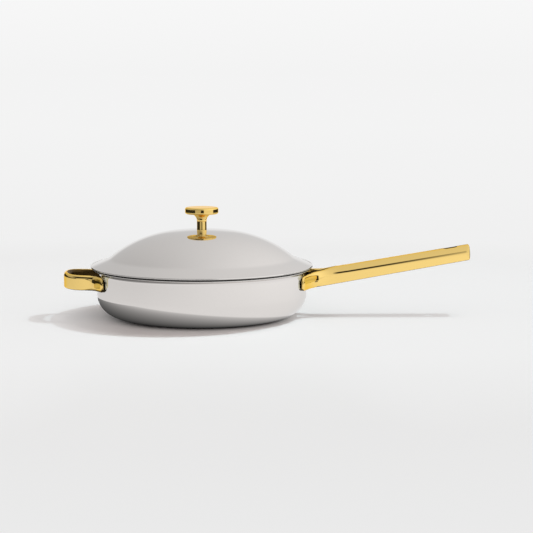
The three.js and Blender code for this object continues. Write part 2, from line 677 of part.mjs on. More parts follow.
// A handle and the two rivets that hold it, front one first
function rivetedHandle(name, rivetNames, blank, angles) {
  const group = new THREE.Group();
  group.add(drilled(name, blank, angles));
  angles.forEach((angle, i) => group.add(rivet(rivetNames[i], angle, blank)));
  return group;
}

const pan = new THREE.Group();
pan.add(
  panBody(),
  rivetedHandle(
    'long_handle',
    ['long_handle_rivet_front', 'long_handle_rivet_back'],
    longHandleBlank(),
    LONG_HANDLE_RIVETS,
  ),
  rivetedHandle(
    'helper_handle',
    ['helper_rivet_front', 'helper_rivet_back'],
    helperBlank(),
    HELPER_RIVETS,
  ),
);

const lid = new THREE.Group();
lid.add(lidShell(), knobStem(), knobHead(), screwWasher(), knobScrew());

const model = new THREE.Group();
model.add(pan, lid);

export default model;
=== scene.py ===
"""Looks of a polished frying pan with a domed lid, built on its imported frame.

Lengths of the pan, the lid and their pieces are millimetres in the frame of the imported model: +Z up,
the origin in the middle of the flat base, +X along the long handle. Each finished mesh is scaled to
metres once. The studio's lengths are metres.
"""

import logging
import math
from collections.abc import Callable
from dataclasses import dataclass, field, replace
from enum import Enum

import bmesh
import bpy
from mathutils import Matrix, Vector


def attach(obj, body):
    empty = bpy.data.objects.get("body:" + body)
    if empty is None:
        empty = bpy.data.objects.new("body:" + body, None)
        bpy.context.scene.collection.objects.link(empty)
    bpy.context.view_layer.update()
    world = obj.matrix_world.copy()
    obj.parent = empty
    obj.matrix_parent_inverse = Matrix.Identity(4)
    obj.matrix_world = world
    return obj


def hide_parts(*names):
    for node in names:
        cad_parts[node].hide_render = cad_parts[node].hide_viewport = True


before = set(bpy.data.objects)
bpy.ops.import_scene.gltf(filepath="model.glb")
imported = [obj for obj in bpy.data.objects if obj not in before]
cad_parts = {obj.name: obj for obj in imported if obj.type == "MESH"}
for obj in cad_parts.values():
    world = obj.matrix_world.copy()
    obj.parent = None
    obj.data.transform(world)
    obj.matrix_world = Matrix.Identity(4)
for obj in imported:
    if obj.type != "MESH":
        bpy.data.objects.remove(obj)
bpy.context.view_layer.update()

log = logging.getLogger("frying_pan")
logging.basicConfig(level=logging.INFO, format="%(name)s: %(message)s")

MM = 0.001
MERGE = 1e-4
QUARTER = math.pi / 2
SHARP_ANGLE = math.radians(38)

# Half way between a ray that has not bounced yet and one that has
ONE_BOUNCE = 0.5

# Hand polish: noise scales are per metre
BLOTCH_SCALE = 16.0
GRAIN_SCALE = 420.0
HAIRLINE_STRETCH = (60.0, 900.0, 500.0)
HAIRLINE_TURN = (0.3, 0.2, 0.5)
GRAIN_IN_HAZE = 0.35
GRAIN_IN_RELIEF = 0.4

# Brushed rings: a line's length round the axis shrinks to this share before the noise reads it
RING_STRETCH = 0.004
RING_SCALE = 1500.0
RING_ROUGHNESS = 0.1

# Level of the floor by its share of the way from the front to the far end
FLOOR_LEVELS = (
    (0.0, 0.822),
    (0.04, 0.826),
    (0.078, 0.852),
    (0.124, 0.874),
    (0.17, 0.858),
    (0.29, 0.871),
    (0.5, 0.886),
    (1.0, 0.898),
)

Colour = tuple[float, float, float, float]
Ring = list[Vector]
Curve = tuple[Vector, Vector, Vector, Vector]
Skin = bmesh.types.BMesh
Face = bmesh.types.BMFace
Tree = bpy.types.NodeTree
Socket = bpy.types.NodeSocket


def lerp(start: float, end: float, share: float) -> float:
    """Value a share of the way from start to end."""
    return start + (end - start) * share


def smooth_share(low: float, high: float, value: float) -> float:
    """Eased share, 0 to 1, of the way that value is from low to high."""
    share = min(1.0, max(0.0, (value - low) / (high - low)))
    return share * share * (3 - 2 * share)


def dome(offset: float, half: float, rise: float) -> float:
    """Height of a round crown over its springing line.

    Args:
        offset: distance from the peak.
        half: distance from the peak to the springing line.
        rise: height of the peak.

    Returns:
        The height at that offset.
    """
    radius = (half * half + rise * rise) / (2 * rise)
    return math.sqrt(max(radius * radius - offset * offset, 0.0)) - (radius - rise)


class Profile:
    """A line of points, radius and height, that a spin turns into a skin."""

    def __init__(self, radius: float, height: float) -> None:
        """Starts the line at one point."""
        self.points: Ring = [Vector((radius, 0, height))]

    def line(self, radius: float, height: float, steps: int = 1) -> "Profile":
        """Runs straight to a point in equal steps.

        Args:
            radius: radius of the point.
            height: its height.
            steps: number of steps.

        Returns:
            The profile itself.
        """
        start = self.points[-1].copy()
        end = Vector((radius, 0, height))
        self.points += [start.lerp(end, i / steps) for i in range(1, steps + 1)]
        return self

    def arc(self, centre: Vector, radius: float, start: float, end: float, steps: int) -> "Profile":
        """Runs along an arc.

        Args:
            centre: centre of the arc.
            radius: radius of the arc.
            start: first angle, from the direction of growing radius towards up.
            end: last angle.
            steps: number of chords.

        Returns:
            The profile itself.
        """
        for i in range(steps + 1):
            angle = lerp(start, end, i / steps)
            point = centre + radius * Vector((math.cos(angle), 0, math.sin(angle)))
            if (point - self.points[-1]).length > MERGE:
                self.points.append(point)
        return self

    def sweep(self, first_pull: Vector, second_pull: Vector, end: Vector, steps: int) -> "Profile":
        """Runs along a cubic curve to a point, pulled by two points on its way.

        Args:
            first_pull: point that pulls the start.
            second_pull: point that pulls the end.
            end: last point.
            steps: number of chords.

        Returns:
            The profile itself.
        """
        start = self.points[-1].copy()
        self.points += [bezier(start, first_pull, second_pull, end, i / steps) for i in range(1, steps + 1)]
        return self


def bezier(a: Vector, b: Vector, c: Vector, d: Vector, share: float) -> Vector:
    """Point on a cubic curve at a share of its way."""
    rest = 1 - share
    return rest**3 * a + 3 * rest**2 * share * b + 3 * rest * share**2 * c + share**3 * d


def bezier_direction(a: Vector, b: Vector, c: Vector, d: Vector, share: float) -> Vector:
    """Direction of a cubic curve at a share of its way, of length one."""
    rest = 1 - share
    return (rest**2 * (b - a) + 2 * rest * share * (c - b) + share**2 * (d - c)).normalized()


def spin(profile: Profile, steps: int) -> Skin:
    """Turns a profile about the Z axis into a closed skin.

    Args:
        profile: the line to turn.
        steps: number of facets round.

    Returns:
        The skin, merged and facing out.
    """
    bm = bmesh.new()
    verts = [bm.verts.new(point) for point in profile.points]
    edges = [bm.edges.new(pair) for pair in zip(verts, verts[1:])]
    bmesh.ops.spin(
        bm,
        geom=verts + edges,
        cent=(0, 0, 0),
        axis=(0, 0, 1),
        angle=2 * math.pi,
        steps=steps,
        use_merge=True,
        use_duplicate=False,
    )
    bmesh.ops.remove_doubles(bm, verts=bm.verts, dist=MERGE)
    bmesh.ops.recalc_face_normals(bm, faces=bm.faces)
    return bm


class Loft:
    """A skin drawn along a row of rings by extruding the last ring."""

    def __init__(self, rings: list[Ring], capped: bool) -> None:
        """Draws the skin through all rings.

        Args:
            rings: closed rings, each with as many points.
            capped: whether the first ring is closed with a face; the last one is.
        """
        self.bm = bmesh.new()
        self.ring = [self.bm.verts.new(point) for point in rings[0]]
        if capped:
            self.cap()
        for ring in rings[1:]:
            self.draw_to(ring)
        self.cap()

    def draw_to(self, ring: Ring) -> None:
        """Extrudes the last ring to the next one.

        Args:
            ring: points of the next ring, as many as in the last.
        """
        pairs = zip(self.ring, self.ring[1:] + self.ring[:1])
        edges = [self.bm.edges.get(pair) or self.bm.edges.new(pair) for pair in pairs]
        made = bmesh.ops.extrude_edge_only(self.bm, edges=edges)["geom"]
        new = {item for item in made if isinstance(item, bmesh.types.BMVert)}
        drawn = []
        for vert, point in zip(self.ring, ring):
            other = next(e.other_vert(vert) for e in vert.link_edges if e.other_vert(vert) in new)
            other.co = point
            drawn.append(other)
        self.ring = drawn

    def cap(self) -> None:
        """Closes the last ring with a face."""
        bmesh.ops.contextual_create(self.bm, geom=self.ring)

    def with_mirror(self) -> Skin:
        """Joins the skin to its mirror image across the XZ plane.

        Returns:
            The closed skin, merged and facing out.
        """
        bm = self.bm
        inside = [face for face in bm.faces if all(abs(vert.co.y) < MERGE for vert in face.verts)]
        bmesh.ops.delete(bm, geom=inside, context="FACES")
        geometry = bm.verts[:] + bm.edges[:] + bm.faces[:]
        bmesh.ops.mirror(bm, geom=geometry, matrix=Matrix.Identity(4), merge_dist=MERGE, axis="Y")
        bmesh.ops.remove_doubles(bm, verts=bm.verts, dist=MERGE)
        bmesh.ops.dissolve_degenerate(bm, edges=bm.edges, dist=MERGE)
        bmesh.ops.recalc_face_normals(bm, faces=bm.faces)
        return bm


@dataclass(frozen=True)
class StrapSize:
    """Section of a strap: flat bottom, upright sides and a crowned top, with eased edges.

    The lateral place 0 is on the strap's path, and it grows outwards. The easing of the outer edges
    is as many times taller than deep as the cushion says.
    """

    outer: float
    inner: float
    side: float
    crown: float
    lean: float = 0.0
    peak: float = 0.0
    peak_half: float = 1.0
    peak_rise: float = 1.0
    low_ease: float = 1.2
    ridge_ease: float = 1.0
    inner_ease: float = 0.8
    cushion: float = 1.0

    FLAT_SHARES = (0.03, 0.2, 0.4, 0.6, 0.8, 0.97)
    EASE_STEPS = 5
    CROWN_STEPS = 18

    def top(self, place: float) -> float:
        """Height of the top at a lateral place.

        Args:
            place: lateral place.

        Returns:
            The height over the flat bottom.
        """
        middle = (self.outer - self.inner) / 2
        round_top = dome(place - middle, (self.outer + self.inner) / 2, self.crown)
        leaning_top = dome(place - self.peak, self.peak_half, self.peak_rise)
        return self.side + lerp(round_top, leaning_top, self.lean)

    def eased(self, start: Vector, corner: Vector, end: Vector) -> Ring:
        """Points round a corner from one of its sides to the other."""
        shares = [i / self.EASE_STEPS for i in range(self.EASE_STEPS + 1)]
        return [(1 - t) ** 2 * start + 2 * (1 - t) * t * corner + t * t * end for t in shares]

    def flat(self, start: Vector, end: Vector) -> Ring:
        """Points along a flat side, close together at its ends."""
        return [start.lerp(end, share) for share in self.FLAT_SHARES]

    def outline(self) -> Ring:
        """Points of the section, lateral place and height, from the inner lower edge and round.

        Returns:
            The points, without a repeat of the first.
        """
        low, ridge, ease = self.low_ease, self.ridge_ease, self.inner_ease
        low_inner = Vector((-self.inner, 0))
        low_outer = Vector((self.outer, 0))
        shoulder = Vector((self.outer, self.top(self.outer)))
        inner_top = Vector((-self.inner, self.top(-self.inner)))
        crown_start = Vector((self.outer - ridge, self.top(self.outer - ridge)))
        crown_end = Vector((ease - self.inner, self.top(ease - self.inner)))
        bottom_start = low_inner + Vector((ease, 0))
        bottom_end = low_outer - Vector((low, 0))
        side_start = low_outer + Vector((0, low * self.cushion))
        side_end = shoulder - Vector((0, ridge * self.cushion))
        inner_start = inner_top - Vector((0, ease))
        inner_end = low_inner + Vector((0, ease))
        crown = []
        for i in range(1, self.CROWN_STEPS):
            place = lerp(crown_start.x, crown_end.x, i / self.CROWN_STEPS)
            crown.append(Vector((place, self.top(place))))
        return [
            *self.eased(inner_end, low_inner, bottom_start),
            *self.flat(bottom_start, bottom_end),
            *self.eased(bottom_end, low_outer, side_start),
            *self.flat(side_start, side_end),
            *self.eased(side_end, shoulder, crown_start),
            *crown,
            *self.eased(crown_end, inner_top, inner_start),
            *self.flat(inner_start, inner_end),
        ]

    def ring(self, place: Vector, direction: Vector) -> Ring:
        """Stands the section upright on its path.

        Args:
            place: point of the path, at the height of the flat bottom.
            direction: direction of the path there.

        Returns:
            The section's points in the frame.
        """
        across = Vector((direction.y, -direction.x, 0)).normalized()
        return [place + across * point.x + Vector((0, 0, point.y)) for point in self.outline()]


class Lay(Enum):
    """How a metal face was finished."""

    MIRROR = "mirror"
    RINGS = "rings"
    PLAIN = "plain"


@dataclass(frozen=True)
class MetalFinish:
    """Look of one metal finish."""

    name: str
    clean: Colour
    hazed: Colour
    roughness: float
    haze: float
    lay: Lay
    relief: float
    edge_tint: Colour = (1, 1, 1, 1)
    # Painted reflection: the colour this metal shows where other metal reflects it
    reflected: Colour | None = None

    def material(self) -> bpy.types.Material:
        """Builds the material once, and returns the same one after that.

        Returns:
            The material.
        """
        found = bpy.data.materials.get(self.name)
        if found:
            return found
        made = bpy.data.materials.new(self.name)
        made.use_nodes = True
        self.wire(made.node_tree)
        return made

    def wire(self, tree: Tree) -> None:
        """Lays out the nodes of the finish in an empty material.

        Args:
            tree: nodes of the material.
        """
        shader = tree.nodes["Principled BSDF"]
        shader.inputs["Metallic"].default_value = 1.0
        shader.inputs["Specular Tint"].default_value = self.edge_tint
        polish = tree.nodes.new("ShaderNodeGroup")
        polish.node_tree = polish_group()
        polish.inputs["Roughness"].default_value = self.roughness
        polish.inputs["Haze"].default_value = self.haze
        tint = tree.nodes.new("ShaderNodeMix")
        tint.data_type = "RGBA"
        tint.inputs["A"].default_value = self.clean
        tint.inputs["B"].default_value = self.hazed
        bump = tree.nodes.new("ShaderNodeBump")
        bump.inputs["Strength"].default_value = 1.0
        bump.inputs["Distance"].default_value = self.relief
        tree.links.new(polish.outputs["Mask"], tint.inputs["Factor"])
        colour = self.with_painted_reflection(tree, tint.outputs["Result"]) if self.reflected else tint.outputs["Result"]
        tree.links.new(colour, shader.inputs["Base Color"])
        tree.links.new(bump.outputs["Normal"], shader.inputs["Normal"])
        if self.lay is Lay.RINGS:
            lay = tree.nodes.new("ShaderNodeGroup")
            lay.node_tree = rings_group()
            tree.links.new(polish.outputs["Roughness"], lay.inputs["Roughness"])
            tree.links.new(lay.outputs["Roughness"], shader.inputs["Roughness"])
            tree.links.new(lay.outputs["Height"], bump.inputs["Height"])
        else:
            tree.links.new(polish.outputs["Roughness"], shader.inputs["Roughness"])
            tree.links.new(polish.outputs["Height"], bump.inputs["Height"])

    def with_painted_reflection(self, tree: Tree, direct: Socket) -> Socket:
        """Painted reflection: swaps the colour for the given one where the metal is seen in other metal.

        Args:
            tree: nodes of the material.
            direct: socket with the colour that the camera sees.

        Returns:
            The socket with the colour for every ray.
        """
        path = tree.nodes.new("ShaderNodeLightPath")
        swap = tree.nodes.new("ShaderNodeMix")
        swap.data_type = "RGBA"
        swap.inputs["B"].default_value = self.reflected
        mirrored = maths(tree, "GREATER_THAN", path.outputs["Glossy Depth"], ONE_BOUNCE)
        tree.links.new(mirrored, swap.inputs["Factor"])
        tree.links.new(direct, swap.inputs["A"])
        return swap.outputs["Result"]


def new_group(name: str, inputs: dict[str, float], outputs: list[str]) -> Tree:
    """Makes a shader node group with plain number sockets.

    Args:
        name: name of the group.
        inputs: name and default of each input.
        outputs: name of each output.

    Returns:
        The group, with its input and output nodes and nothing between them.
    """
    group = bpy.data.node_groups.new(name, "ShaderNodeTree")
    for label, value in inputs.items():
        socket = group.interface.new_socket(name=label, in_out="INPUT", socket_type="NodeSocketFloat")
        socket.default_value = value
    for label in outputs:
        group.interface.new_socket(name=label, in_out="OUTPUT", socket_type="NodeSocketFloat")
    group.nodes.new("NodeGroupInput")
    group.nodes.new("NodeGroupOutput")
    return group


def maths(tree: Tree, operation: str, *values: object) -> Socket:
    """Adds a maths node.

    Args:
        tree: where the node goes.
        operation: Blender's name of the operation.
        values: numbers, or sockets to link.

    Returns:
        The socket with the result.
    """
    node = tree.nodes.new("ShaderNodeMath")
    node.operation = operation
    for socket, value in zip(node.inputs, values):
        if isinstance(value, Socket):
            tree.links.new(value, socket)
        else:
            socket.default_value = value
    return node.outputs[0]


def noise(tree: Tree, place: Socket, scale: float, detail: float) -> Socket:
    """Adds a noise texture.

    Args:
        tree: where the node goes.
        place: socket with the place that it reads.
        scale: waves to a unit of that place.
        detail: number of finer layers.

    Returns:
        The socket with its value, about 0 to 1.
    """
    node = tree.nodes.new("ShaderNodeTexNoise")
    node.inputs["Scale"].default_value = scale
    node.inputs["Detail"].default_value = detail
    tree.links.new(place, node.inputs["Vector"])
    return node.outputs[0]


def axes_of(tree: Tree, coordinates: str = "Object") -> bpy.types.Node:
    """Adds a node with the place along each axis.

    Args:
        tree: where the node goes.
        coordinates: Blender's name of the coordinates.

    Returns:
        The node, whose outputs are X, Y and Z.
    """
    axes = tree.nodes.new("ShaderNodeSeparateXYZ")
    place = tree.nodes.new("ShaderNodeTexCoord").outputs[coordinates]
    tree.links.new(place, axes.inputs["Vector"])
    return axes


def radius_of(tree: Tree, axes: bpy.types.Node) -> Socket:
    """Socket with the distance from the pan's axis."""
    square = maths(tree, "MULTIPLY", axes.outputs["X"], axes.outputs["X"])
    return maths(tree, "SQRT", maths(tree, "MULTIPLY_ADD", axes.outputs["Y"], axes.outputs["Y"], square))


def eased_range(tree: Tree, value: Socket, ends: tuple[float, float], most: float = 1.0) -> Socket:
    """Adds an eased rise from 0 over a range of values.

    Args:
        tree: where the node goes.
        value: socket with the value.
        ends: values where the rise starts and ends.
        most: result past its end.

    Returns:
        The socket with the result.
    """
    rise = tree.nodes.new("ShaderNodeMapRange")
    rise.interpolation_type = "SMOOTHSTEP"
    rise.inputs["From Min"].default_value, rise.inputs["From Max"].default_value = ends
    rise.inputs["To Max"].default_value = most
    tree.links.new(value, rise.inputs["Value"])
    return rise.outputs["Result"]


def blended(tree: Tree, share: Socket, first: Socket, second: Socket) -> Socket:
    """Adds a mix of two numbers.

    Args:
        tree: where the node goes.
        share: socket with the share of the second.
        first: socket with the first number.
        second: socket with the second number.

    Returns:
        The socket with the mix.
    """
    mix = tree.nodes.new("ShaderNodeMix")
    tree.links.new(share, mix.inputs["Factor"])
    tree.links.new(first, mix.inputs["A"])
    tree.links.new(second, mix.inputs["B"])
    return mix.outputs["Result"]


def polish_group() -> Tree:
    """Hand-polish: soft haze, a finer grain in it and hairlines that wander.

    Returns:
        The group, built at the first call.
    """
    found = bpy.data.node_groups.get("hand_polish")
    if found:
        return found
    group = new_group("hand_polish", {"Roughness": 0.05, "Haze": 0.02}, ["Mask", "Roughness", "Height"])
    given = group.nodes["Group Input"]
    result = group.nodes["Group Output"]
    place = group.nodes.new("ShaderNodeTexCoord").outputs["Object"]
    blotch = noise(group, place, BLOTCH_SCALE, detail=3.0)
    grain = noise(group, place, GRAIN_SCALE, detail=2.0)
    stretch = group.nodes.new("ShaderNodeMapping")
    stretch.inputs["Scale"].default_value = HAIRLINE_STRETCH
    stretch.inputs["Rotation"].default_value = HAIRLINE_TURN
    group.links.new(place, stretch.inputs["Vector"])
    hairline = noise(group, stretch.outputs["Vector"], scale=1.0, detail=2.0)
    soft = maths(group, "MULTIPLY", blotch, 1 - GRAIN_IN_HAZE)
    mask = maths(group, "MULTIPLY_ADD", grain, GRAIN_IN_HAZE, soft)
    rough = maths(group, "MULTIPLY_ADD", mask, given.outputs["Haze"], given.outputs["Roughness"])
    fine = maths(group, "MULTIPLY", grain, GRAIN_IN_RELIEF)
    height = maths(group, "MULTIPLY_ADD", hairline, 1 - GRAIN_IN_RELIEF, fine)
    group.links.new(mask, result.inputs["Mask"])
    group.links.new(rough, result.inputs["Roughness"])
    group.links.new(height, result.inputs["Height"])
    return group


def rings_group() -> Tree:
    """Satin face brushed in circles about the pan's upright axis.

    Returns:
        The group, built at the first call.
    """
    found = bpy.data.node_groups.get("brushed_rings")
    if found:
        return found
    group = new_group("brushed_rings", {"Roughness": 0.25}, ["Roughness", "Height"])
    given = group.nodes["Group Input"]
    result = group.nodes["Group Output"]
    axes = axes_of(group)
    turn = maths(group, "ARCTAN2", axes.outputs["Y"], axes.outputs["X"])
    join = group.nodes.new("ShaderNodeCombineXYZ")
    group.links.new(radius_of(group, axes), join.inputs["X"])
    group.links.new(maths(group, "MULTIPLY", turn, RING_STRETCH), join.inputs["Y"])
    group.links.new(axes.outputs["Z"], join.inputs["Z"])
    line = noise(group, join.outputs["Vector"], RING_SCALE, detail=3.0)
    rough = maths(group, "MULTIPLY_ADD", line, RING_ROUGHNESS, given.outputs["Roughness"])
    group.links.new(rough, result.inputs["Roughness"])
    group.links.new(line, result.inputs["Height"])
    return group


MIRROR_STEEL = MetalFinish(
    name="mirror_steel",
    clean=(0.82, 0.785, 0.76, 1),
    hazed=(0.78, 0.748, 0.725, 1),
    roughness=0.03,
    haze=0.03,
    lay=Lay.MIRROR,
    relief=4e-7,
    edge_tint=(0.88, 0.88, 0.88, 1),
)
SATIN_STEEL = MetalFinish(
    name="satin_steel",
    clean=(0.66, 0.65, 0.63, 1),
    hazed=(0.60, 0.59, 0.58, 1),
    roughness=0.20,
    haze=0.06,
    lay=Lay.RINGS,
    relief=1.2e-5,
)
MIRROR_GOLD = MetalFinish(
    name="mirror_gold",
    clean=(1.0, 0.72, 0.25, 1),
    hazed=(0.985, 0.695, 0.225, 1),
    roughness=0.035,
    haze=0.03,
    lay=Lay.MIRROR,
    relief=4e-7,
    edge_tint=(1.0, 0.76, 0.3, 1),
)
# Painted reflection: the handles' gold turns this paler colour where it is seen in the steel
HANDLE_GOLD = replace(MIRROR_GOLD, name="handle_gold", reflected=(0.77, 0.77, 0.62, 1))
# Painted shade: dark, rough gold under the handles and inside the fork, the loop and the slot
SHADE_GOLD = MetalFinish(
    name="shade_gold",
    clean=(0.13, 0.08, 0.025, 1),
    hazed=(0.10, 0.06, 0.02, 1),
    roughness=0.45,
    haze=0.1,
    lay=Lay.PLAIN,
    relief=1e-5,
)
# Painted shade: dark steel on the lip's slope and under the lid's brim, for the seam between them
SEAM_SHADE_STEEL = MetalFinish(
    name="seam_shade_steel",
    clean=(0.32, 0.315, 0.31, 1),
    hazed=(0.28, 0.275, 0.27, 1),
    roughness=0.34,
    haze=0.08,
    lay=Lay.RINGS,
    relief=1.2e-5,
)
ZINC_STEEL = MetalFinish(
    name="zinc_steel",
    clean=(0.50, 0.50, 0.49, 1),
    hazed=(0.40, 0.40, 0.40, 1),
    roughness=0.26,
    haze=0.12,
    lay=Lay.PLAIN,
    relief=6e-6,
)


@dataclass(frozen=True)
class Piece:
    """Where a finished piece belongs."""

    name: str
    body: str
    node: str
    slot: str


def link_object(name: str, bm: Skin) -> bpy.types.Object:
    """Puts a skin into a new object of the scene.

    Args:
        name: name of the object and of its mesh.
        bm: the skin; it is freed.

    Returns:
        The object.
    """
    mesh = bpy.data.meshes.new(name)
    bm.to_mesh(mesh)
    bm.free()
    thing = bpy.data.objects.new(name, mesh)
    bpy.context.scene.collection.objects.link(thing)
    return thing


def finish_piece(
    piece: Piece,
    bm: Skin,
    finishes: list[MetalFinish],
    pick: Callable[[Face], MetalFinish] | None = None,
) -> None:
    """Turns a skin into an object of the frame, in place of its CAD node.

    Args:
        piece: name, body and node; its material slot is not used.
        bm: the skin, in millimetres; it is freed.
        finishes: finishes of the piece.
        pick: gives the finish of a face, where there are several.
    """
    numbers = {finish.name: number for number, finish in enumerate(finishes)}
    for face in bm.faces:
        face.smooth = True
        face.material_index = numbers[pick(face).name] if pick else 0
    for edge in bm.edges:
        edge.smooth = not (edge.is_manifold and edge.calc_face_angle() > SHARP_ANGLE)
    bmesh.ops.scale(bm, vec=(MM, MM, MM), verts=bm.verts)
    thing = link_object(piece.name, bm)
    for finish in finishes:
        thing.data.materials.append(finish.material())
    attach(thing, piece.body)
    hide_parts(piece.node)
    log.info("%s: %d faces on %s", piece.name, len(thing.data.polygons), piece.body)


@dataclass
class Pan:
    """The drawn pan: flat base, round corner, upright wall and flared lip."""

    wall_radius: float = 132.4
    sheet: float = 2.6
    corner_width: float = 38.0
    corner_height: float = 31.0
    corner_pull: float = 0.6
    wall_top: float = 59.3
    lip_radius: float = 136.1
    lip_height: float = 63.96
    fillet_radius: float = 4.4
    fillet_height: float = 56.0
    fillet_turn: float = math.radians(65)
    under_reach: float = 1.6
    edge_radius: float = 0.75
    top_radius: float = 2.2
    top_lean: float = math.radians(40)
    flat_slack: float = 0.01
    base_from: float = 0.999
    turn_steps: int = 192

    @property
    def fillet_centre(self) -> Vector:
        """Centre of the fillet under the lip, out in front of the wall."""
        return Vector((self.wall_radius + self.fillet_radius, 0, self.fillet_height))

    @property
    def edge_centre(self) -> Vector:
        """Centre of the lip's round edge, past the fillet.

        Returns:
            The centre, as radius and height.
        """
        turn = math.pi - self.fillet_turn
        back = Vector((math.cos(turn), 0, math.sin(turn)))
        along = Vector((math.sin(turn), 0, -math.cos(turn)))
        return self.fillet_centre + back * (self.fillet_radius + self.edge_radius) + along * self.under_reach

    @property
    def top_centre(self) -> Vector:
        """Centre of the lip's rounded top, where the slope from its edge comes in.

        Returns:
            The centre, as radius and height.
        """
        radius = self.wall_radius - self.sheet + self.top_radius
        run = (self.edge_centre.x - radius) * math.cos(self.top_lean)
        rise = (run - self.top_radius + self.edge_radius) / math.sin(self.top_lean)
        return Vector((radius, 0, self.edge_centre.z + rise))

    def profile(self) -> Profile:
        """Outline of the sheet, from under the base out, over the lip and back in.

        Returns:
            The outline.
        """
        base = Vector((self.wall_radius - self.corner_width, 0, 0))
        wall = Vector((self.wall_radius, 0, self.corner_height))
        inner_base = base + Vector((0, 0, self.sheet))
        inner_wall = wall - Vector((self.sheet, 0, 0))
        low_pull = base + Vector((self.corner_width, 0, 0)) * self.corner_pull
        high_pull = wall - Vector((0, 0, self.corner_height)) * self.corner_pull
        lift = Vector((-self.sheet * self.corner_pull, 0, self.sheet))
        inset = Vector((-self.sheet, 0, self.sheet * self.corner_pull))
        line = Profile(0, 0)
        line.line(base.x, 0, steps=12)
        line.sweep(low_pull, high_pull, wall, steps=40)
        line.line(self.wall_radius, self.fillet_height, steps=12)
        line.arc(self.fillet_centre, self.fillet_radius, math.pi, math.pi - self.fillet_turn, steps=16)
        line.arc(self.edge_centre, self.edge_radius, -self.fillet_turn, self.top_lean, steps=14)
        line.arc(self.top_centre, self.top_radius, self.top_lean, math.pi, steps=16)
        line.line(inner_wall.x, inner_wall.z, steps=8)
        line.sweep(high_pull + inset, low_pull + lift, inner_base, steps=32)
        line.line(0, self.sheet, steps=12)
        return line

    def finish_of(self, face: Face) -> MetalFinish:
        """Mirror finish outside, satin inside and under the base, painted shade of the seam on the lip's
        slope.

        Args:
            face: a face of the pan.

        Returns:
            Its finish.
        """
        centre = face.calc_center_median()
        inward = face.normal.x * centre.x + face.normal.y * centre.y < 0
        if centre.z > self.edge_centre.z and face.normal.z > math.sin(self.top_lean) - self.flat_slack:
            return SEAM_SHADE_STEEL
        if inward and centre.z > self.sheet / 2 or face.normal.z > self.flat_slack:
            return SATIN_STEEL
        return SATIN_STEEL if face.normal.z < -self.base_from else MIRROR_STEEL

    def build(self) -> None:
        """Makes the pan and dresses it."""
        piece = Piece("pan_drawn", "pan", "pan_body", "polished_steel")
        finishes = [MIRROR_STEEL, SATIN_STEEL, SEAM_SHADE_STEEL]
        finish_piece(piece, spin(self.profile(), self.turn_steps), finishes, self.finish_of)


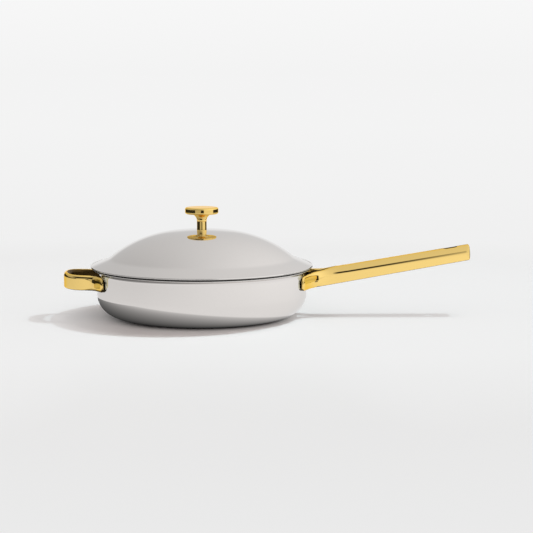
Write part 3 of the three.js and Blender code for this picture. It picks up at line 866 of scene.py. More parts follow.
@dataclass
class Lid:
    """The pressed lid: shallow crown, rounded haunch and a sloping brim with a rolled edge."""

    pan: Pan
    sheet: float = 1.0
    seat_clearance: float = 0.1
    crown_sphere: float = 360.0
    crown_radius: float = 36.0
    haunch_slope: float = math.radians(38.55)
    haunch_inset: float = 21.1
    fillet_arc: float = 20.0
    brim_slope: float = math.radians(22)
    overhang: float = 1.9
    bead_radius: float = 1.15
    hole_radius: float = 2.85
    under_from: float = 0.4
    crown_steps: int = 16
    haunch_steps: int = 44
    fillet_steps: int = 14
    turn_steps: int = 192

    def slope_normal(self, slope: float) -> Vector:
        """Upward normal of the sheet where it falls outwards at a slope."""
        return Vector((math.sin(slope), 0, math.cos(slope)))

    def __post_init__(self) -> None:
        """Works out the arcs that meet in line from the crown to the brim."""
        normal = self.slope_normal(self.brim_slope)
        along = Vector((math.cos(self.brim_slope), 0, -math.sin(self.brim_slope)))
        lip = Vector((self.pan.lip_radius, 0, self.pan.lip_height))
        seat = lip + normal * (self.pan.sheet / 2 + self.seat_clearance + self.sheet / 2)
        self.edge = seat + along * (self.overhang + self.bead_radius / 2)
        self.crown_slope = math.asin(self.crown_radius / self.crown_sphere)
        haunch_radius = self.pan.lip_radius - self.haunch_inset
        sines = math.sin(self.haunch_slope) - math.sin(self.crown_slope)
        self.haunch_arc = (haunch_radius - self.crown_radius) / sines
        run = self.fillet_arc * (math.sin(self.haunch_slope) - math.sin(self.brim_slope))
        start = haunch_radius + run
        start_height = seat.z + (seat.x - start) * math.tan(self.brim_slope)
        self.fillet_centre = Vector((start, 0, start_height)) + normal * self.fillet_arc
        reach = self.fillet_arc + self.haunch_arc
        self.haunch_centre = self.fillet_centre - self.slope_normal(self.haunch_slope) * reach
        back = self.haunch_arc - self.crown_sphere
        self.crown_centre = self.haunch_centre + self.slope_normal(self.crown_slope) * back

    @property
    def apex(self) -> float:
        """Height of the top of the crown."""
        return self.crown_centre.z + self.crown_sphere + self.sheet / 2

    def side_angles(self, offset: float) -> list[tuple[Vector, float, float, float, int]]:
        """Arcs of one side of the sheet, from the hole to the brim.

        Args:
            offset: height of that side over the middle of the sheet.

        Returns:
            Centre, radius, first angle, last angle and steps of each arc.
        """
        hole = math.asin(self.hole_radius / (self.crown_sphere + offset))
        crown_end = QUARTER - self.crown_slope
        haunch_end = QUARTER - self.haunch_slope
        fillet_start = 3 * QUARTER - self.haunch_slope
        fillet_end = 3 * QUARTER - self.brim_slope
        return [
            (self.crown_centre, self.crown_sphere + offset, QUARTER - hole, crown_end, self.crown_steps),
            (self.haunch_centre, self.haunch_arc + offset, crown_end, haunch_end, self.haunch_steps),
            (self.fillet_centre, self.fillet_arc - offset, fillet_start, fillet_end, self.fillet_steps),
        ]

    def profile(self) -> Profile:
        """Closed outline of the sheet with its rolled edge.

        Returns:
            The outline.
        """
        half = self.sheet / 2
        join = math.pi - math.asin(half / self.bead_radius)
        upper = self.side_angles(half)
        lower = self.side_angles(-half)
        centre, radius, start, _, _ = upper[0]
        line = Profile(centre.x + radius * math.cos(start), centre.z + radius * math.sin(start))
        for arc in upper:
            line.arc(*arc)
        bead_start = join - self.brim_slope
        rim = self.edge + self.bead_radius * Vector((math.cos(bead_start), 0, math.sin(bead_start)))
        line.line(rim.x, rim.z, steps=6)
        line.arc(self.edge, self.bead_radius, bead_start, -join - self.brim_slope, steps=18)
        centre, radius, _, end, _ = lower[-1]
        line.line(centre.x + radius * math.cos(end), centre.z + radius * math.sin(end), steps=6)
        for centre, radius, start, end, steps in reversed(lower):
            line.arc(centre, radius, end, start, steps)
        line.points.append(line.points[0].copy())
        return line

    def finish_of(self, face: Face) -> MetalFinish:
        """Mirror finish on top and round the edge, satin in the hollow, painted shade of the seam under the
        brim.

        Args:
            face: a face of the lid.

        Returns:
            Its finish.
        """
        if face.normal.z > -self.under_from:
            return MIRROR_STEEL
        hollow = face.calc_center_median().xy.length < self.fillet_centre.x
        return SATIN_STEEL if hollow else SEAM_SHADE_STEEL

    def build(self) -> None:
        """Makes the lid and dresses it."""
        piece = Piece("lid_pressed", "lid", "lid_shell", "polished_steel")
        finishes = [MIRROR_STEEL, SATIN_STEEL, SEAM_SHADE_STEEL]
        finish_piece(piece, spin(self.profile(), self.turn_steps), finishes, self.finish_of)


@dataclass
class Knob:
    """The turned knob on its spacer, and the screw and washer that hold it from under the lid."""

    lid: Lid
    stem_radius: float = 6.1
    stem_length: float = 10.5
    neck_length: float = 9.2
    neck_straight: float = 0.5
    neck_out: float = 0.4
    neck_up: float = 0.92
    disc_radius: float = 21.0
    disc_overhang: float = 7.0
    disc_thickness: float = 8.4
    disc_edge: float = 2.4
    stem_ease: float = 0.35
    seat_gap: float = 0.03
    washer_gap: float = 0.12
    screw_radius: float = 2.5
    screw_clearance: float = 0.35
    screw_grip: float = 6.5
    head_radius: float = 4.8
    head_height: float = 3.0
    bore_clearance: float = 0.8
    washer_radius: float = 7.5
    washer_thickness: float = 1.2
    washer_ease: float = 0.25
    recess_reach: float = 2.5
    recess_width: float = 1.0
    recess_depth: float = 1.7
    turn_steps: int = 128
    small_turn_steps: int = 64

    @property
    def stem_bottom(self) -> float:
        """Height of the spacer's foot on the lid."""
        return self.lid.apex + self.seat_gap

    @property
    def head_bottom(self) -> float:
        """Height of the joint between the spacer and the knob."""
        return self.stem_bottom + self.stem_length + self.seat_gap

    @property
    def washer_top(self) -> float:
        """Height of the washer's upper face, under the hollow of the crown."""
        inner = self.lid.crown_sphere - self.lid.sheet / 2
        return self.lid.crown_centre.z + math.sqrt(inner**2 - self.washer_radius**2) - self.washer_gap

    def stem(self) -> Profile:
        """Outline of the spacer tube with its eased upper edge.

        Returns:
            The outline.
        """
        bore = self.screw_radius + self.screw_clearance
        top = self.stem_bottom + self.stem_length
        ease = Vector((self.stem_radius - self.stem_ease, 0, top - self.stem_ease))
        line = Profile(bore, self.stem_bottom)
        line.line(self.stem_radius, self.stem_bottom, steps=2)
        line.line(self.stem_radius, top - self.stem_ease, steps=8)
        line.arc(ease, self.stem_ease, 0, QUARTER, steps=5)
        line.line(bore, top, steps=2)
        line.line(bore, self.stem_bottom, steps=4)
        return line

    def head(self) -> Profile:
        """Outline of the turned head: neck, flare and flat disc.

        Returns:
            The outline.
        """
        bore = self.screw_radius + self.screw_clearance
        disc_bottom = self.head_bottom + self.neck_length
        disc_top = disc_bottom + self.disc_thickness
        bore_top = self.head_bottom + self.screw_grip + self.bore_clearance
        edge = self.disc_radius - self.disc_edge
        ease = Vector((self.stem_radius - self.stem_ease, 0, self.head_bottom + self.stem_ease))
        start = Vector((self.stem_radius, 0, self.head_bottom + self.stem_ease))
        end = Vector((self.disc_radius - self.disc_overhang, 0, disc_bottom))
        first = Vector((start.x, 0, lerp(start.z, end.z, self.neck_straight)))
        second = Vector((lerp(start.x, end.x, self.neck_out), 0, lerp(start.z, end.z, self.neck_up)))
        line = Profile(0, bore_top)
        line.line(bore, bore_top)
        line.line(bore, self.head_bottom, steps=2)
        line.line(ease.x, self.head_bottom, steps=2)
        line.arc(ease, self.stem_ease, -QUARTER, 0, steps=5)
        line.sweep(first, second, end, steps=24)
        line.line(edge, disc_bottom, steps=3)
        line.arc(Vector((edge, 0, disc_bottom + self.disc_edge)), self.disc_edge, -QUARTER, 0, steps=9)
        line.line(self.disc_radius, disc_top - self.disc_edge, steps=6)
        line.arc(Vector((edge, 0, disc_top - self.disc_edge)), self.disc_edge, 0, QUARTER, steps=9)
        line.line(0, disc_top, steps=10)
        return line

    def washer(self) -> Profile:
        """Outline of the stamped washer.

        Returns:
            The outline.
        """
        hole = self.screw_radius + self.screw_clearance
        ease = self.washer_ease
        bottom = self.washer_top - self.washer_thickness
        rim = self.washer_radius - ease
        line = Profile(hole, bottom)
        line.line(rim, bottom, steps=3)
        line.arc(Vector((rim, 0, bottom + ease)), ease, -QUARTER, 0, steps=4)
        line.arc(Vector((rim, 0, self.washer_top - ease)), ease, 0, QUARTER, steps=4)
        line.line(hole, self.washer_top, steps=3)
        line.line(hole, bottom)
        return line

    def screw(self) -> Profile:
        """Outline of the round-headed screw.

        Returns:
            The outline.
        """
        top = self.washer_top - self.washer_thickness - self.seat_gap
        bottom = top - self.head_height
        tip = self.head_bottom + self.screw_grip
        ease = self.head_height / 2
        line = Profile(0, bottom)
        line.line(self.head_radius - ease, bottom, steps=6)
        line.arc(Vector((self.head_radius - ease, 0, bottom + ease)), ease, -QUARTER, 0, steps=10)
        line.line(self.head_radius, top, steps=2)
        line.line(self.screw_radius, top, steps=2)
        line.line(self.screw_radius, tip - self.screw_clearance, steps=6)
        line.line(self.screw_radius - self.screw_clearance, tip)
        line.line(0, tip)
        return line

    def recessed_screw(self) -> Skin:
        """Sinks a cross for a screwdriver into the screw's head.

        Returns:
            The screw's skin with the recess cut.
        """
        blank = link_object("screw_blank", spin(self.screw(), self.small_turn_steps))
        bottom = self.washer_top - self.washer_thickness - self.seat_gap - self.head_height
        cutters = []
        for turn in (0.0, QUARTER):
            bar = bmesh.new()
            bmesh.ops.create_cube(bar, size=2)
            half = Vector((self.recess_reach, self.recess_width / 2, self.recess_depth))
            bmesh.ops.scale(bar, vec=half, verts=bar.verts)
            bmesh.ops.rotate(bar, cent=(0, 0, 0), matrix=Matrix.Rotation(turn, 3, "Z"), verts=bar.verts)
            bmesh.ops.translate(bar, vec=(0, 0, bottom), verts=bar.verts)
            cutters.append(link_object("recess_bar", bar))
            cut = blank.modifiers.new("recess", "BOOLEAN")
            cut.operation = "DIFFERENCE"
            cut.solver = "EXACT"
            cut.object = cutters[-1]
        shape = blank.evaluated_get(bpy.context.evaluated_depsgraph_get()).to_mesh()
        result = bmesh.new()
        result.from_mesh(shape)
        for thing in (blank, *cutters):
            bpy.data.objects.remove(thing)
        return result

    def build(self) -> None:
        """Makes the four pieces and dresses them."""
        stem = Piece("knob_stem_turned", "lid", "knob_stem", "polished_gold")
        finish_piece(stem, spin(self.stem(), self.turn_steps), [MIRROR_GOLD])
        head = Piece("knob_head_turned", "lid", "knob_head", "polished_gold")
        finish_piece(head, spin(self.head(), self.turn_steps), [MIRROR_GOLD])
        washer = Piece("washer_stamped", "lid", "screw_washer", "plain_steel")
        finish_piece(washer, spin(self.washer(), self.small_turn_steps), [ZINC_STEEL])
        screw = Piece("screw_turned", "lid", "knob_screw", "plain_steel")
        finish_piece(screw, self.recessed_screw(), [ZINC_STEEL])


@dataclass
class Foot:
    """The foot that both handles share: a flare along the wall, seated on it."""

    pan: Pan
    gap: float = 0.3
    spread: float = math.radians(21.2)
    seat_start: float = math.radians(12.0)
    seat_full: float = math.radians(14.5)
    half: float = 2.2
    drop: float = 21.8
    side: float = 16.0
    crown: float = 1.6
    inner_ease: float = 0.8
    ease: float = 2.6
    cushion: float = 3.2
    round_height: float = 7.4
    round_reach: float = 7.6
    round_edge: float = 0.9
    round_steps: int = 14

    @property
    def back_radius(self) -> float:
        """Radius of the foot's back, just off the wall."""
        return self.pan.wall_radius + self.gap

    @property
    def bottom(self) -> float:
        """Height of the foot's lower edge."""
        return self.pan.wall_top - self.drop

    @property
    def place(self) -> Vector:
        """End of the foot's path on the wall, for a handle along +X."""
        radius = self.back_radius + self.half
        return Vector((radius * math.cos(self.spread), radius * math.sin(self.spread), self.bottom))

    @property
    def along(self) -> Vector:
        """Direction of the wall at the foot's end."""
        return Vector((-math.sin(self.spread), math.cos(self.spread), 0))

    def seated(self, ring: Ring, inner: list[bool]) -> Ring:
        """Lays a ring's inner points on the wall and keeps the others out of it.

        Args:
            ring: points of a section.
            inner: which of them are on the side that faces the wall.

        Returns:
            The points, moved out from or back to the wall.
        """
        result = []
        for point, is_inner in zip(ring, inner):
            radius = math.hypot(point.x, point.y)
            turn = math.atan2(point.y, point.x)
            share = smooth_share(self.seat_start, self.seat_full, turn) if is_inner else 0.0
            reach = max(lerp(radius, self.back_radius, share), self.back_radius)
            result.append(Vector((reach * math.cos(turn), reach * math.sin(turn), point.z)))
        return result

    def end_rings(self, size: StrapSize) -> list[Ring]:
        """Rings that round off the end of the foot, past the end of its path.

        Args:
            size: section at the end of the path.

        Returns:
            The rings, each smaller than the one before.
        """
        rings = []
        last_half = self.round_edge / 2
        last_ease = self.round_edge / 3
        for i in range(1, self.round_steps + 1):
            turn = QUARTER * i / self.round_steps
            share = 1 - math.cos(turn)
            sunk = self.round_height * share
            ease = lerp(size.low_ease, last_ease, share)
            end = StrapSize(
                outer=lerp(size.outer, last_half, share),
                inner=lerp(size.inner, last_half, share),
                side=size.side - 2 * sunk,
                crown=lerp(size.crown, last_ease, share),
                low_ease=ease,
                ridge_ease=ease,
                inner_ease=lerp(size.inner_ease, last_ease, share),
                cushion=lerp(size.cushion, 1.0, share),
            )
            place = self.place + self.along * (self.round_reach * math.sin(turn)) + Vector((0, 0, sunk))
            ring = end.ring(place, self.along)
            rings.append(self.seated(ring, [False] * len(ring)))
        return rings


def inner_points(size: StrapSize) -> list[bool]:
    """Tells which points of a section are on its inner side."""
    return [point.x < MERGE - size.inner for point in size.outline()]


@dataclass
class LongHandle:
    """The cast long handle: a crowned grip that forks into two flared legs."""

    foot: Foot
    reach: float = 207.6
    fork_reach: float = 37.5
    half_width: float = 12.3
    bottom_at_fork: float = 41.2
    rise: float = 0.1704
    side_at_fork: float = 14.1
    side_at_tip: float = 11.6
    crown_at_fork: float = 6.7
    crown_at_tip: float = 7.4
    tip_round: float = 1.8
    root_inset: float = 10.0
    root_crown: float = 5.0
    root_pull: float = 30.0
    foot_pull: float = 40.0
    taper_power: float = 1.3
    slot_length: float = 19.0
    slot_width: float = 9.0
    slot_to_tip: float = 14.0
    slot_margin: float = 1.0
    low_ease: float = 1.2
    ridge_ease: float = 3.1
    slot_ease: float = 0.3
    leg_ease: float = 0.8
    notch_start: float = 0.11
    notch_opening: float = 0.02
    notch_margin: float = 0.01
    lean_end: float = 0.5
    foot_start: float = 0.35
    foot_full: float = 0.65
    shade_from: float = 0.6
    tip_steps: int = 7
    grip_steps: int = 44
    slot_steps: int = 12
    leg_steps: int = 44

    NOTCH_SHARES = (0, 0.03, 0.12, 0.3, 0.6)

    @property
    def fork(self) -> float:
        """Place along the handle where the fork's sizes hold."""
        return self.foot.pan.wall_radius + self.fork_reach

    @property
    def tip(self) -> float:
        """Place of the handle's end."""
        return self.foot.pan.wall_radius + self.reach

    @property
    def path_offset(self) -> float:
        """Distance of each half's path from the middle plane of the grip."""
        return self.half_width / 2

    def slot_opening(self, x: float) -> float:
        """Half width of the hanging slot at a place along the handle.

        Args:
            x: place along the handle.

        Returns:
            The half width, 0 away from the slot.
        """
        half = self.slot_width / 2
        centre = self.tip - self.slot_to_tip - self.slot_length / 2
        past = abs(x - centre) - (self.slot_length / 2 - half)
        if past >= half:
            return 0.0
        return half if past <= 0 else math.sqrt(half * half - past * past)

    def grip_ring(self, x: float, inset: float) -> Ring:
        """Half section of the grip.

        Args:
            x: place along the handle.
            inset: how far the section shrinks, near the rounded tip.

        Returns:
            The ring of one half, with its inner side on the middle plane or round the slot.
        """
        share = (x - self.fork) / (self.tip - self.fork)
        opening = self.slot_opening(x)
        half = self.half_width - inset
        bottom = self.bottom_at_fork + (x - self.fork) * self.rise + inset
        size = StrapSize(
            outer=half - self.path_offset,
            inner=self.path_offset - opening,
            side=lerp(self.side_at_fork, self.side_at_tip, share) - 2 * inset,
            crown=self.root_crown,
            lean=1.0,
            peak=-self.path_offset,
            peak_half=half,
            peak_rise=lerp(self.crown_at_fork, self.crown_at_tip, share),
            ridge_ease=self.ridge_ease,
            inner_ease=min(self.slot_ease, opening / 2),
        )
        return size.ring(Vector((x, self.path_offset, bottom)), Vector((-1, 0, 0)))

    def grip_places(self) -> list[float]:
        """Places of the grip's rings from the tip's rounding to the fork, close at the slot's ends.

        Returns:
            The places, from the tip on.
        """
        half = self.slot_width / 2
        far = self.tip - self.slot_to_tip
        near = far - self.slot_length
        turns = [QUARTER * i / self.slot_steps for i in range(self.slot_steps + 1)]
        round_end = [half * (1 - math.cos(turn)) for turn in turns]
        start = self.tip - self.tip_round
        end = self.fork + self.root_inset
        plain = [lerp(start, end, i / self.grip_steps) for i in range(1, self.grip_steps)]
        margin = self.slot_margin
        ends = (near - margin, near + half + margin), (far - half - margin, far + margin)
        clear = [x for x in plain if not any(low < x < high for low, high in ends)]
        return sorted([*clear, *(far - d for d in round_end), *(near + d for d in round_end)], reverse=True)

    def leg_curve(self) -> Curve:
        """Points that draw the path of one leg from inside the grip to its foot.

        Returns:
            The curve's ends, with the points that pull it between them.
        """
        root_bottom = self.bottom_at_fork + self.root_inset * self.rise
        root = Vector((self.fork + self.root_inset, self.path_offset, root_bottom))
        pulled = root - Vector((1, 0, self.rise)) * self.root_pull
        return root, pulled, self.foot.place - self.foot.along * self.foot_pull, self.foot.place

    def leg_size(self, place: Vector, direction: Vector, share: float) -> StrapSize:
        """Section of a leg at a share of its way.

        Args:
            place: point of the leg's path.
            direction: direction of the path there.
            share: share of the way from the root to the foot.

        Returns:
            The section.
        """
        half = lerp(self.path_offset, self.foot.half, share**self.taper_power)
        across = Vector((direction.y, -direction.x, 0)).normalized()
        to_plane = place.y / across.y
        opening = max(to_plane - half, 0.0)
        opened = math.sqrt(min(1.0, max(0.0, (share - self.notch_start) / self.notch_opening)))
        inner = to_plane - opening * opened
        footed = smooth_share(self.foot_start, self.foot_full, share)
        return StrapSize(
            outer=half,
            inner=inner,
            side=lerp(self.side_at_fork, self.foot.side, share),
            crown=lerp(self.root_crown, self.foot.crown, share**2),
            lean=1 - smooth_share(self.notch_start, self.lean_end, share),
            peak=-to_plane,
            peak_half=half + to_plane,
            peak_rise=self.crown_at_fork,
            low_ease=lerp(self.low_ease, self.foot.ease, footed),
            ridge_ease=lerp(self.ridge_ease, self.foot.ease, footed),
            inner_ease=min(lerp(self.leg_ease, self.foot.inner_ease, share), opening * opened / 2),
            cushion=lerp(1.0, self.foot.cushion, footed),
        )

    def leg_rings(self) -> list[Ring]:
        """Rings of one leg from the root to the rounded end of its foot.

        Returns:
            The rings, in order.
        """
        curve = self.leg_curve()
        opening = [self.notch_start + self.notch_opening * share for share in self.NOTCH_SHARES]
        even = [i / self.leg_steps for i in range(self.leg_steps + 1)]
        end = self.notch_start + self.notch_opening
        start = self.notch_start - self.notch_margin
        shares = sorted([*opening, *(share for share in even if not start < share < end)])
        rings = []
        for share in shares:
            place = bezier(*curve, share)
            direction = bezier_direction(*curve, share)
            size = self.leg_size(place, direction, share)
            rings.append(self.foot.seated(size.ring(place, direction), inner_points(size)))
        return rings + self.foot.end_rings(size)

    def skin(self) -> Skin:
        """Draws one half of the handle from tip to foot and joins its mirror image.

        Returns:
            The closed skin.
        """
        turns = [QUARTER * i / self.tip_steps for i in range(self.tip_steps + 1)]
        insets = [self.tip_round * (1 - math.sin(turn)) for turn in turns]
        places = [self.tip - self.tip_round * (1 - math.cos(turn)) for turn in turns]
        rings = [self.grip_ring(x, inset) for x, inset in zip(places, insets)]
        rings += [self.grip_ring(x, 0.0) for x in self.grip_places()]
        rings += self.leg_rings()
        return Loft(rings, capped=True).with_mirror()

    def finish_of(self, face: Face) -> MetalFinish:
        """Polished outside; dark gold of painted shade below and inside the fork and the slot.

        Args:
            face: a face of the handle.

        Returns:
            Its finish.
        """
        centre = face.calc_center_median()
        inside = face.normal.y * math.copysign(1.0, centre.y) < -self.shade_from
        return SHADE_GOLD if inside or face.normal.z < -self.shade_from else HANDLE_GOLD

    def build(self) -> None:
        """Makes the handle and dresses it."""
        piece = Piece("long_handle_cast", "pan", "long_handle", "polished_gold")
        finish_piece(piece, self.skin(), [HANDLE_GOLD, SHADE_GOLD], self.finish_of)


@dataclass
class HelperHandle:
    """The cast helper handle: a loop of crowned strap on two feet."""

    foot: Foot
    reach: float = 41.3
    flare: float = 16.44
    strap_half: float = 3.5
    side: float = 15.2
    crown: float = 3.1
    rise: float = 2.4
    low_ease: float = 1.2
    ridge_ease: float = 1.0
    inner_ease: float = 3.0
    straight_reach: float = 14.0
    bow_pull: float = 23.0
    corner_pull: float = 16.0
    leg_pull: float = 10.0
    foot_pull: float = 20.0
    taper_power: float = 4.0
    foot_start: float = 0.55
    foot_full: float = 0.85
    shade_from: float = 0.45
    bow_steps: int = 36
    leg_steps: int = 28

    def curves(self) -> list[Curve]:
        """Points that draw half of the loop's path, from its bow to its foot, as if along +X.

        Returns:
            The curve of the bow and the curve of the leg.
        """
        wall = self.foot.pan.wall_radius
        bottom = self.foot.bottom
        straight_rise = self.rise * self.straight_reach / self.reach
        bow = Vector((wall + self.reach - self.strap_half, 0, bottom + self.rise))
        aside = self.foot.place.y - self.flare
        shoulder = Vector((wall + self.straight_reach, aside, bottom + straight_rise))
        lift = Vector((0, 0, straight_rise / 2))
        bend = (
            bow,
            bow + Vector((0, self.bow_pull, 0)),
            shoulder + Vector((self.corner_pull, 0, 0)) + lift,
            shoulder,
        )
        leg = (
            shoulder,
            shoulder - Vector((self.leg_pull, 0, 0)) - lift,
            self.foot.place - self.foot.along * self.foot_pull,
            self.foot.place,
        )
        return [bend, leg]

    def size_at(self, share: float) -> StrapSize:
        """Section of the strap at a share of the way from the bow to the foot.

        Args:
            share: share of the way.

        Returns:
            The section.
        """
        half = lerp(self.strap_half, self.foot.half, share**self.taper_power)
        footed = smooth_share(self.foot_start, self.foot_full, share)
        return StrapSize(
            outer=half,
            inner=half,
            side=lerp(self.side, self.foot.side, share**2),
            crown=lerp(self.crown, self.foot.crown, share**self.taper_power),
            low_ease=lerp(self.low_ease, self.foot.ease, footed),
            ridge_ease=lerp(self.ridge_ease, self.foot.ease, footed),
            inner_ease=lerp(self.inner_ease, self.foot.inner_ease, share),
            cushion=lerp(1.0, self.foot.cushion, footed),
        )

    def skin(self) -> Skin:
        """Draws one half of the loop from bow to foot, joins its mirror image and turns it round.

        Returns:
            The closed skin.
        """
        stations = []
        for curve, steps in zip(self.curves(), (self.bow_steps, self.leg_steps)):
            shares = [i / steps for i in range(1 if stations else 0, steps + 1)]
            stations += [(bezier(*curve, share), bezier_direction(*curve, share)) for share in shares]
        walked = [0.0]
        for (before, _), (after, _) in zip(stations, stations[1:]):
            walked.append(walked[-1] + (after - before).length)
        rings = []
        for (place, direction), way in zip(stations, walked):
            size = self.size_at(way / walked[-1])
            rings.append(self.foot.seated(size.ring(place, direction), inner_points(size)))
        rings += self.foot.end_rings(size)
        bm = Loft(rings, capped=False).with_mirror()
        bmesh.ops.rotate(bm, cent=(0, 0, 0), matrix=Matrix.Rotation(math.pi, 3, "Z"), verts=bm.verts)
        return bm

    def finish_of(self, face: Face) -> MetalFinish:
        """Polished outside; dark gold of painted shade below and inside the loop.

        Args:
            face: a face of the loop.

        Returns:
            Its finish.
        """
        middle = Vector((-self.foot.pan.wall_radius - self.straight_reach, 0, 0))
        inwards = (middle - face.calc_center_median()).xy.normalized()
        inside = face.normal.xy.dot(inwards) > self.shade_from
        return SHADE_GOLD if inside or face.normal.z < -self.shade_from else HANDLE_GOLD

    def build(self) -> None:
        """Makes the helper handle and dresses it."""
        piece = Piece("helper_handle_cast", "pan", "helper_handle", "polished_gold")
        finish_piece(piece, self.skin(), [HANDLE_GOLD, SHADE_GOLD], self.finish_of)


@dataclass
class Rivets:
    """The rivets: a low round head inside the pan, and a tail that is flush in its foot."""

    foot: Foot
    to_foot_end: float = 4.4
    shank_radius: float = 3.0
    head_radius: float = 5.5
    head_height: float = 2.2
    head_gap: float = 0.2
    head_rim: float = 0.12
    tail_depth: float = 3.0
    turn_steps: int = 48
    sides: dict[str, float] = field(
        default_factory=lambda: {"long_handle_rivet": 0.0, "helper_rivet": math.pi}
    )

    def profile(self) -> Profile:
        """Outline of a rivet, with its height along the way out from the pan's axis.

        Returns:
            The outline.
        """
        wall = self.foot.pan.wall_radius - self.foot.pan.sheet
        seat = math.sqrt(wall**2 - self.head_radius**2) - self.head_gap
        height = self.head_height - self.head_rim
        sphere = (self.head_radius**2 + height**2) / (2 * height)
        centre = Vector((0, 0, seat - self.head_height + sphere))
        rim = math.atan2(seat - self.head_rim - centre.z, self.head_radius)
        line = Profile(0, seat - self.head_height)
        line.arc(centre, sphere, -QUARTER, rim, steps=14)
        line.line(self.head_radius, seat)
        line.line(self.shank_radius, seat)
        line.line(self.shank_radius, self.foot.back_radius + self.tail_depth, steps=2)
        line.line(0, self.foot.back_radius + self.tail_depth)
        return line

    def build(self) -> None:
        """Makes the rivets of both handles, front one first."""
        turn = self.foot.spread - self.to_foot_end / self.foot.back_radius
        height = self.foot.bottom + self.foot.side / 2
        for handle, side in self.sides.items():
            front = -turn if side == 0.0 else turn
            for end, angle in (("front", side + front), ("back", side - front)):
                bm = spin(self.profile(), self.turn_steps)
                place = Matrix.Rotation(angle, 4, "Z") @ Matrix.Translation((0, 0, height))
                place = place @ Matrix.Rotation(QUARTER, 4, "Y")
                bmesh.ops.transform(bm, matrix=place, verts=bm.verts)
                node = f"{handle}_{end}"
                finish_piece(Piece(f"{node}_set", "pan", node, "polished_gold"), bm, [MIRROR_GOLD])


def seen_rays(tree: Tree) -> Socket:
    """Tells the rays that show the stage as it looks from those that only light matt things.

    Args:
        tree: where the nodes go.

    Returns:
        The socket that is 1 for camera, glossy and transmission rays that met nothing matt, else 0.
    """
    path = tree.nodes.new("ShaderNodeLightPath")
    direct = maths(tree, "MAXIMUM", path.outputs["Is Camera Ray"], path.outputs["Is Glossy Ray"])
    seen = maths(tree, "MAXIMUM", direct, path.outputs["Is Transmission Ray"])
    return maths(tree, "MULTIPLY", seen, maths(tree, "LESS_THAN", path.outputs["Diffuse Depth"], ONE_BOUNCE))


@dataclass(frozen=True)
class Flag:
    """A screen that only reflections see, bent round the pan, upright or lying on the floor.

    Its start and end, in degrees, are from straight in front of the pan, and grow to the right. Its
    lower edge is at the near radius, its upper or outer edge at the far one. A soft end fades into
    the grey of the surround over as many degrees, a soft height over as many metres.
    """

    name: str
    start: float
    end: float
    near: float
    far: float
    bottom: float
    top: float
    level: float
    slope: float = 0.0
    soft_start: float = 0.0
    soft_end: float = 0.0
    soft_height: float = 0.0
    surround: float = 0.74
    surround_slope: float = 0.105

    STEPS = 32
    FULL_TURN = 360

    def build(self) -> None:
        """Stands the screen in its place."""
        bm = bmesh.new()
        turn = math.radians(self.start) - QUARTER
        corners = (self.near, self.bottom), (self.far, self.top)
        verts = [bm.verts.new((r * math.cos(turn), r * math.sin(turn), z)) for r, z in corners]
        edge = bm.edges.new(verts)
        bmesh.ops.spin(
            bm,
            geom=[*verts, edge],
            cent=(0, 0, 0),
            axis=(0, 0, 1),
            angle=math.radians(self.end - self.start),
            steps=self.STEPS,
            use_merge=self.end - self.start == self.FULL_TURN,
            use_duplicate=False,
        )
        thing = link_object(self.name, bm)
        thing.data.materials.append(self.material())
        thing.visible_camera = False
        thing.visible_diffuse = False
        thing.visible_shadow = False

    def material(self) -> bpy.types.Material:
        """Emission of the screen's grey; one with soft ends fades into the grey that surrounds it.

        Returns:
            The material.
        """
        made = bpy.data.materials.new(self.name)
        made.use_nodes = True
        tree = made.node_tree
        shader = tree.nodes["Principled BSDF"]
        shader.inputs["Base Color"].default_value = (0, 0, 0, 1)
        shader.inputs["Specular IOR Level"].default_value = 0.0
        shader.inputs["Emission Strength"].default_value = 1.0
        axes = axes_of(tree)
        ahead = maths(tree, "MULTIPLY", axes.outputs["Y"], -1.0)
        turn = maths(tree, "DEGREES", maths(tree, "ARCTAN2", axes.outputs["X"], ahead))
        height = axes.outputs["Z"]
        grey = self.grey(tree, axes, turn)
        fades = [
            (turn, self.start, self.soft_start),
            (turn, self.end, -self.soft_end),
            (height, self.bottom, self.soft_height),
            (height, self.top, -self.soft_height),
        ]
        around = maths(tree, "MULTIPLY_ADD", axes.outputs["X"], self.surround_slope, self.surround)
        for place, end, way in fades:
            if way:
                grey = blended(tree, eased_range(tree, place, (end, end + way)), around, grey)
        tree.links.new(grey, shader.inputs["Emission Color"])
        return made

    def grey(self, tree: Tree, axes: bpy.types.Node, turn: Socket) -> Socket:
        """Grey of the screen's level, paler to the right by its slope.

        Args:
            tree: where the nodes go.
            axes: node with the place along each axis.
            turn: socket with the angle round the pan; not used here.

        Returns:
            The socket with the grey.
        """
        return maths(tree, "MULTIPLY_ADD", axes.outputs["X"], self.slope, self.level)


@dataclass(frozen=True)
class FloorShade(Flag):
    """The shadow round the base as the polished corner mirrors it, with lit floor past its edge.

    The shadow is black at its start, in metres from the pan's axis, and grows paler outwards by its
    rise. The rise is that of straight in front, and changes e-fold over its turn, in degrees.
    """

    shadow_start: float = 0.104
    shadow_rise: float = 14.2
    shadow_turn: float = 62.0
    edge: tuple[float, float] = (0.57, 0.7)

    def grey(self, tree: Tree, axes: bpy.types.Node, turn: Socket) -> Socket:
        """Grey of the shadow, which is longer to the left, and of the lit floor past its edge.

        Args:
            tree: where the nodes go.
            axes: node with the place along each axis.
            turn: socket with the angle round the pan.

        Returns:
            The socket with the grey.
        """
        lit = super().grey(tree, axes, turn)
        rise = maths(tree, "EXPONENT", maths(tree, "DIVIDE", turn, self.shadow_turn))
        rise = maths(tree, "MULTIPLY", rise, self.shadow_rise)
        way = maths(tree, "SUBTRACT", radius_of(tree, axes), self.shadow_start)
        shadow = maths(tree, "MAXIMUM", maths(tree, "MULTIPLY", rise, way), 0.0)
        return blended(tree, eased_range(tree, shadow, self.edge), shadow, lit)


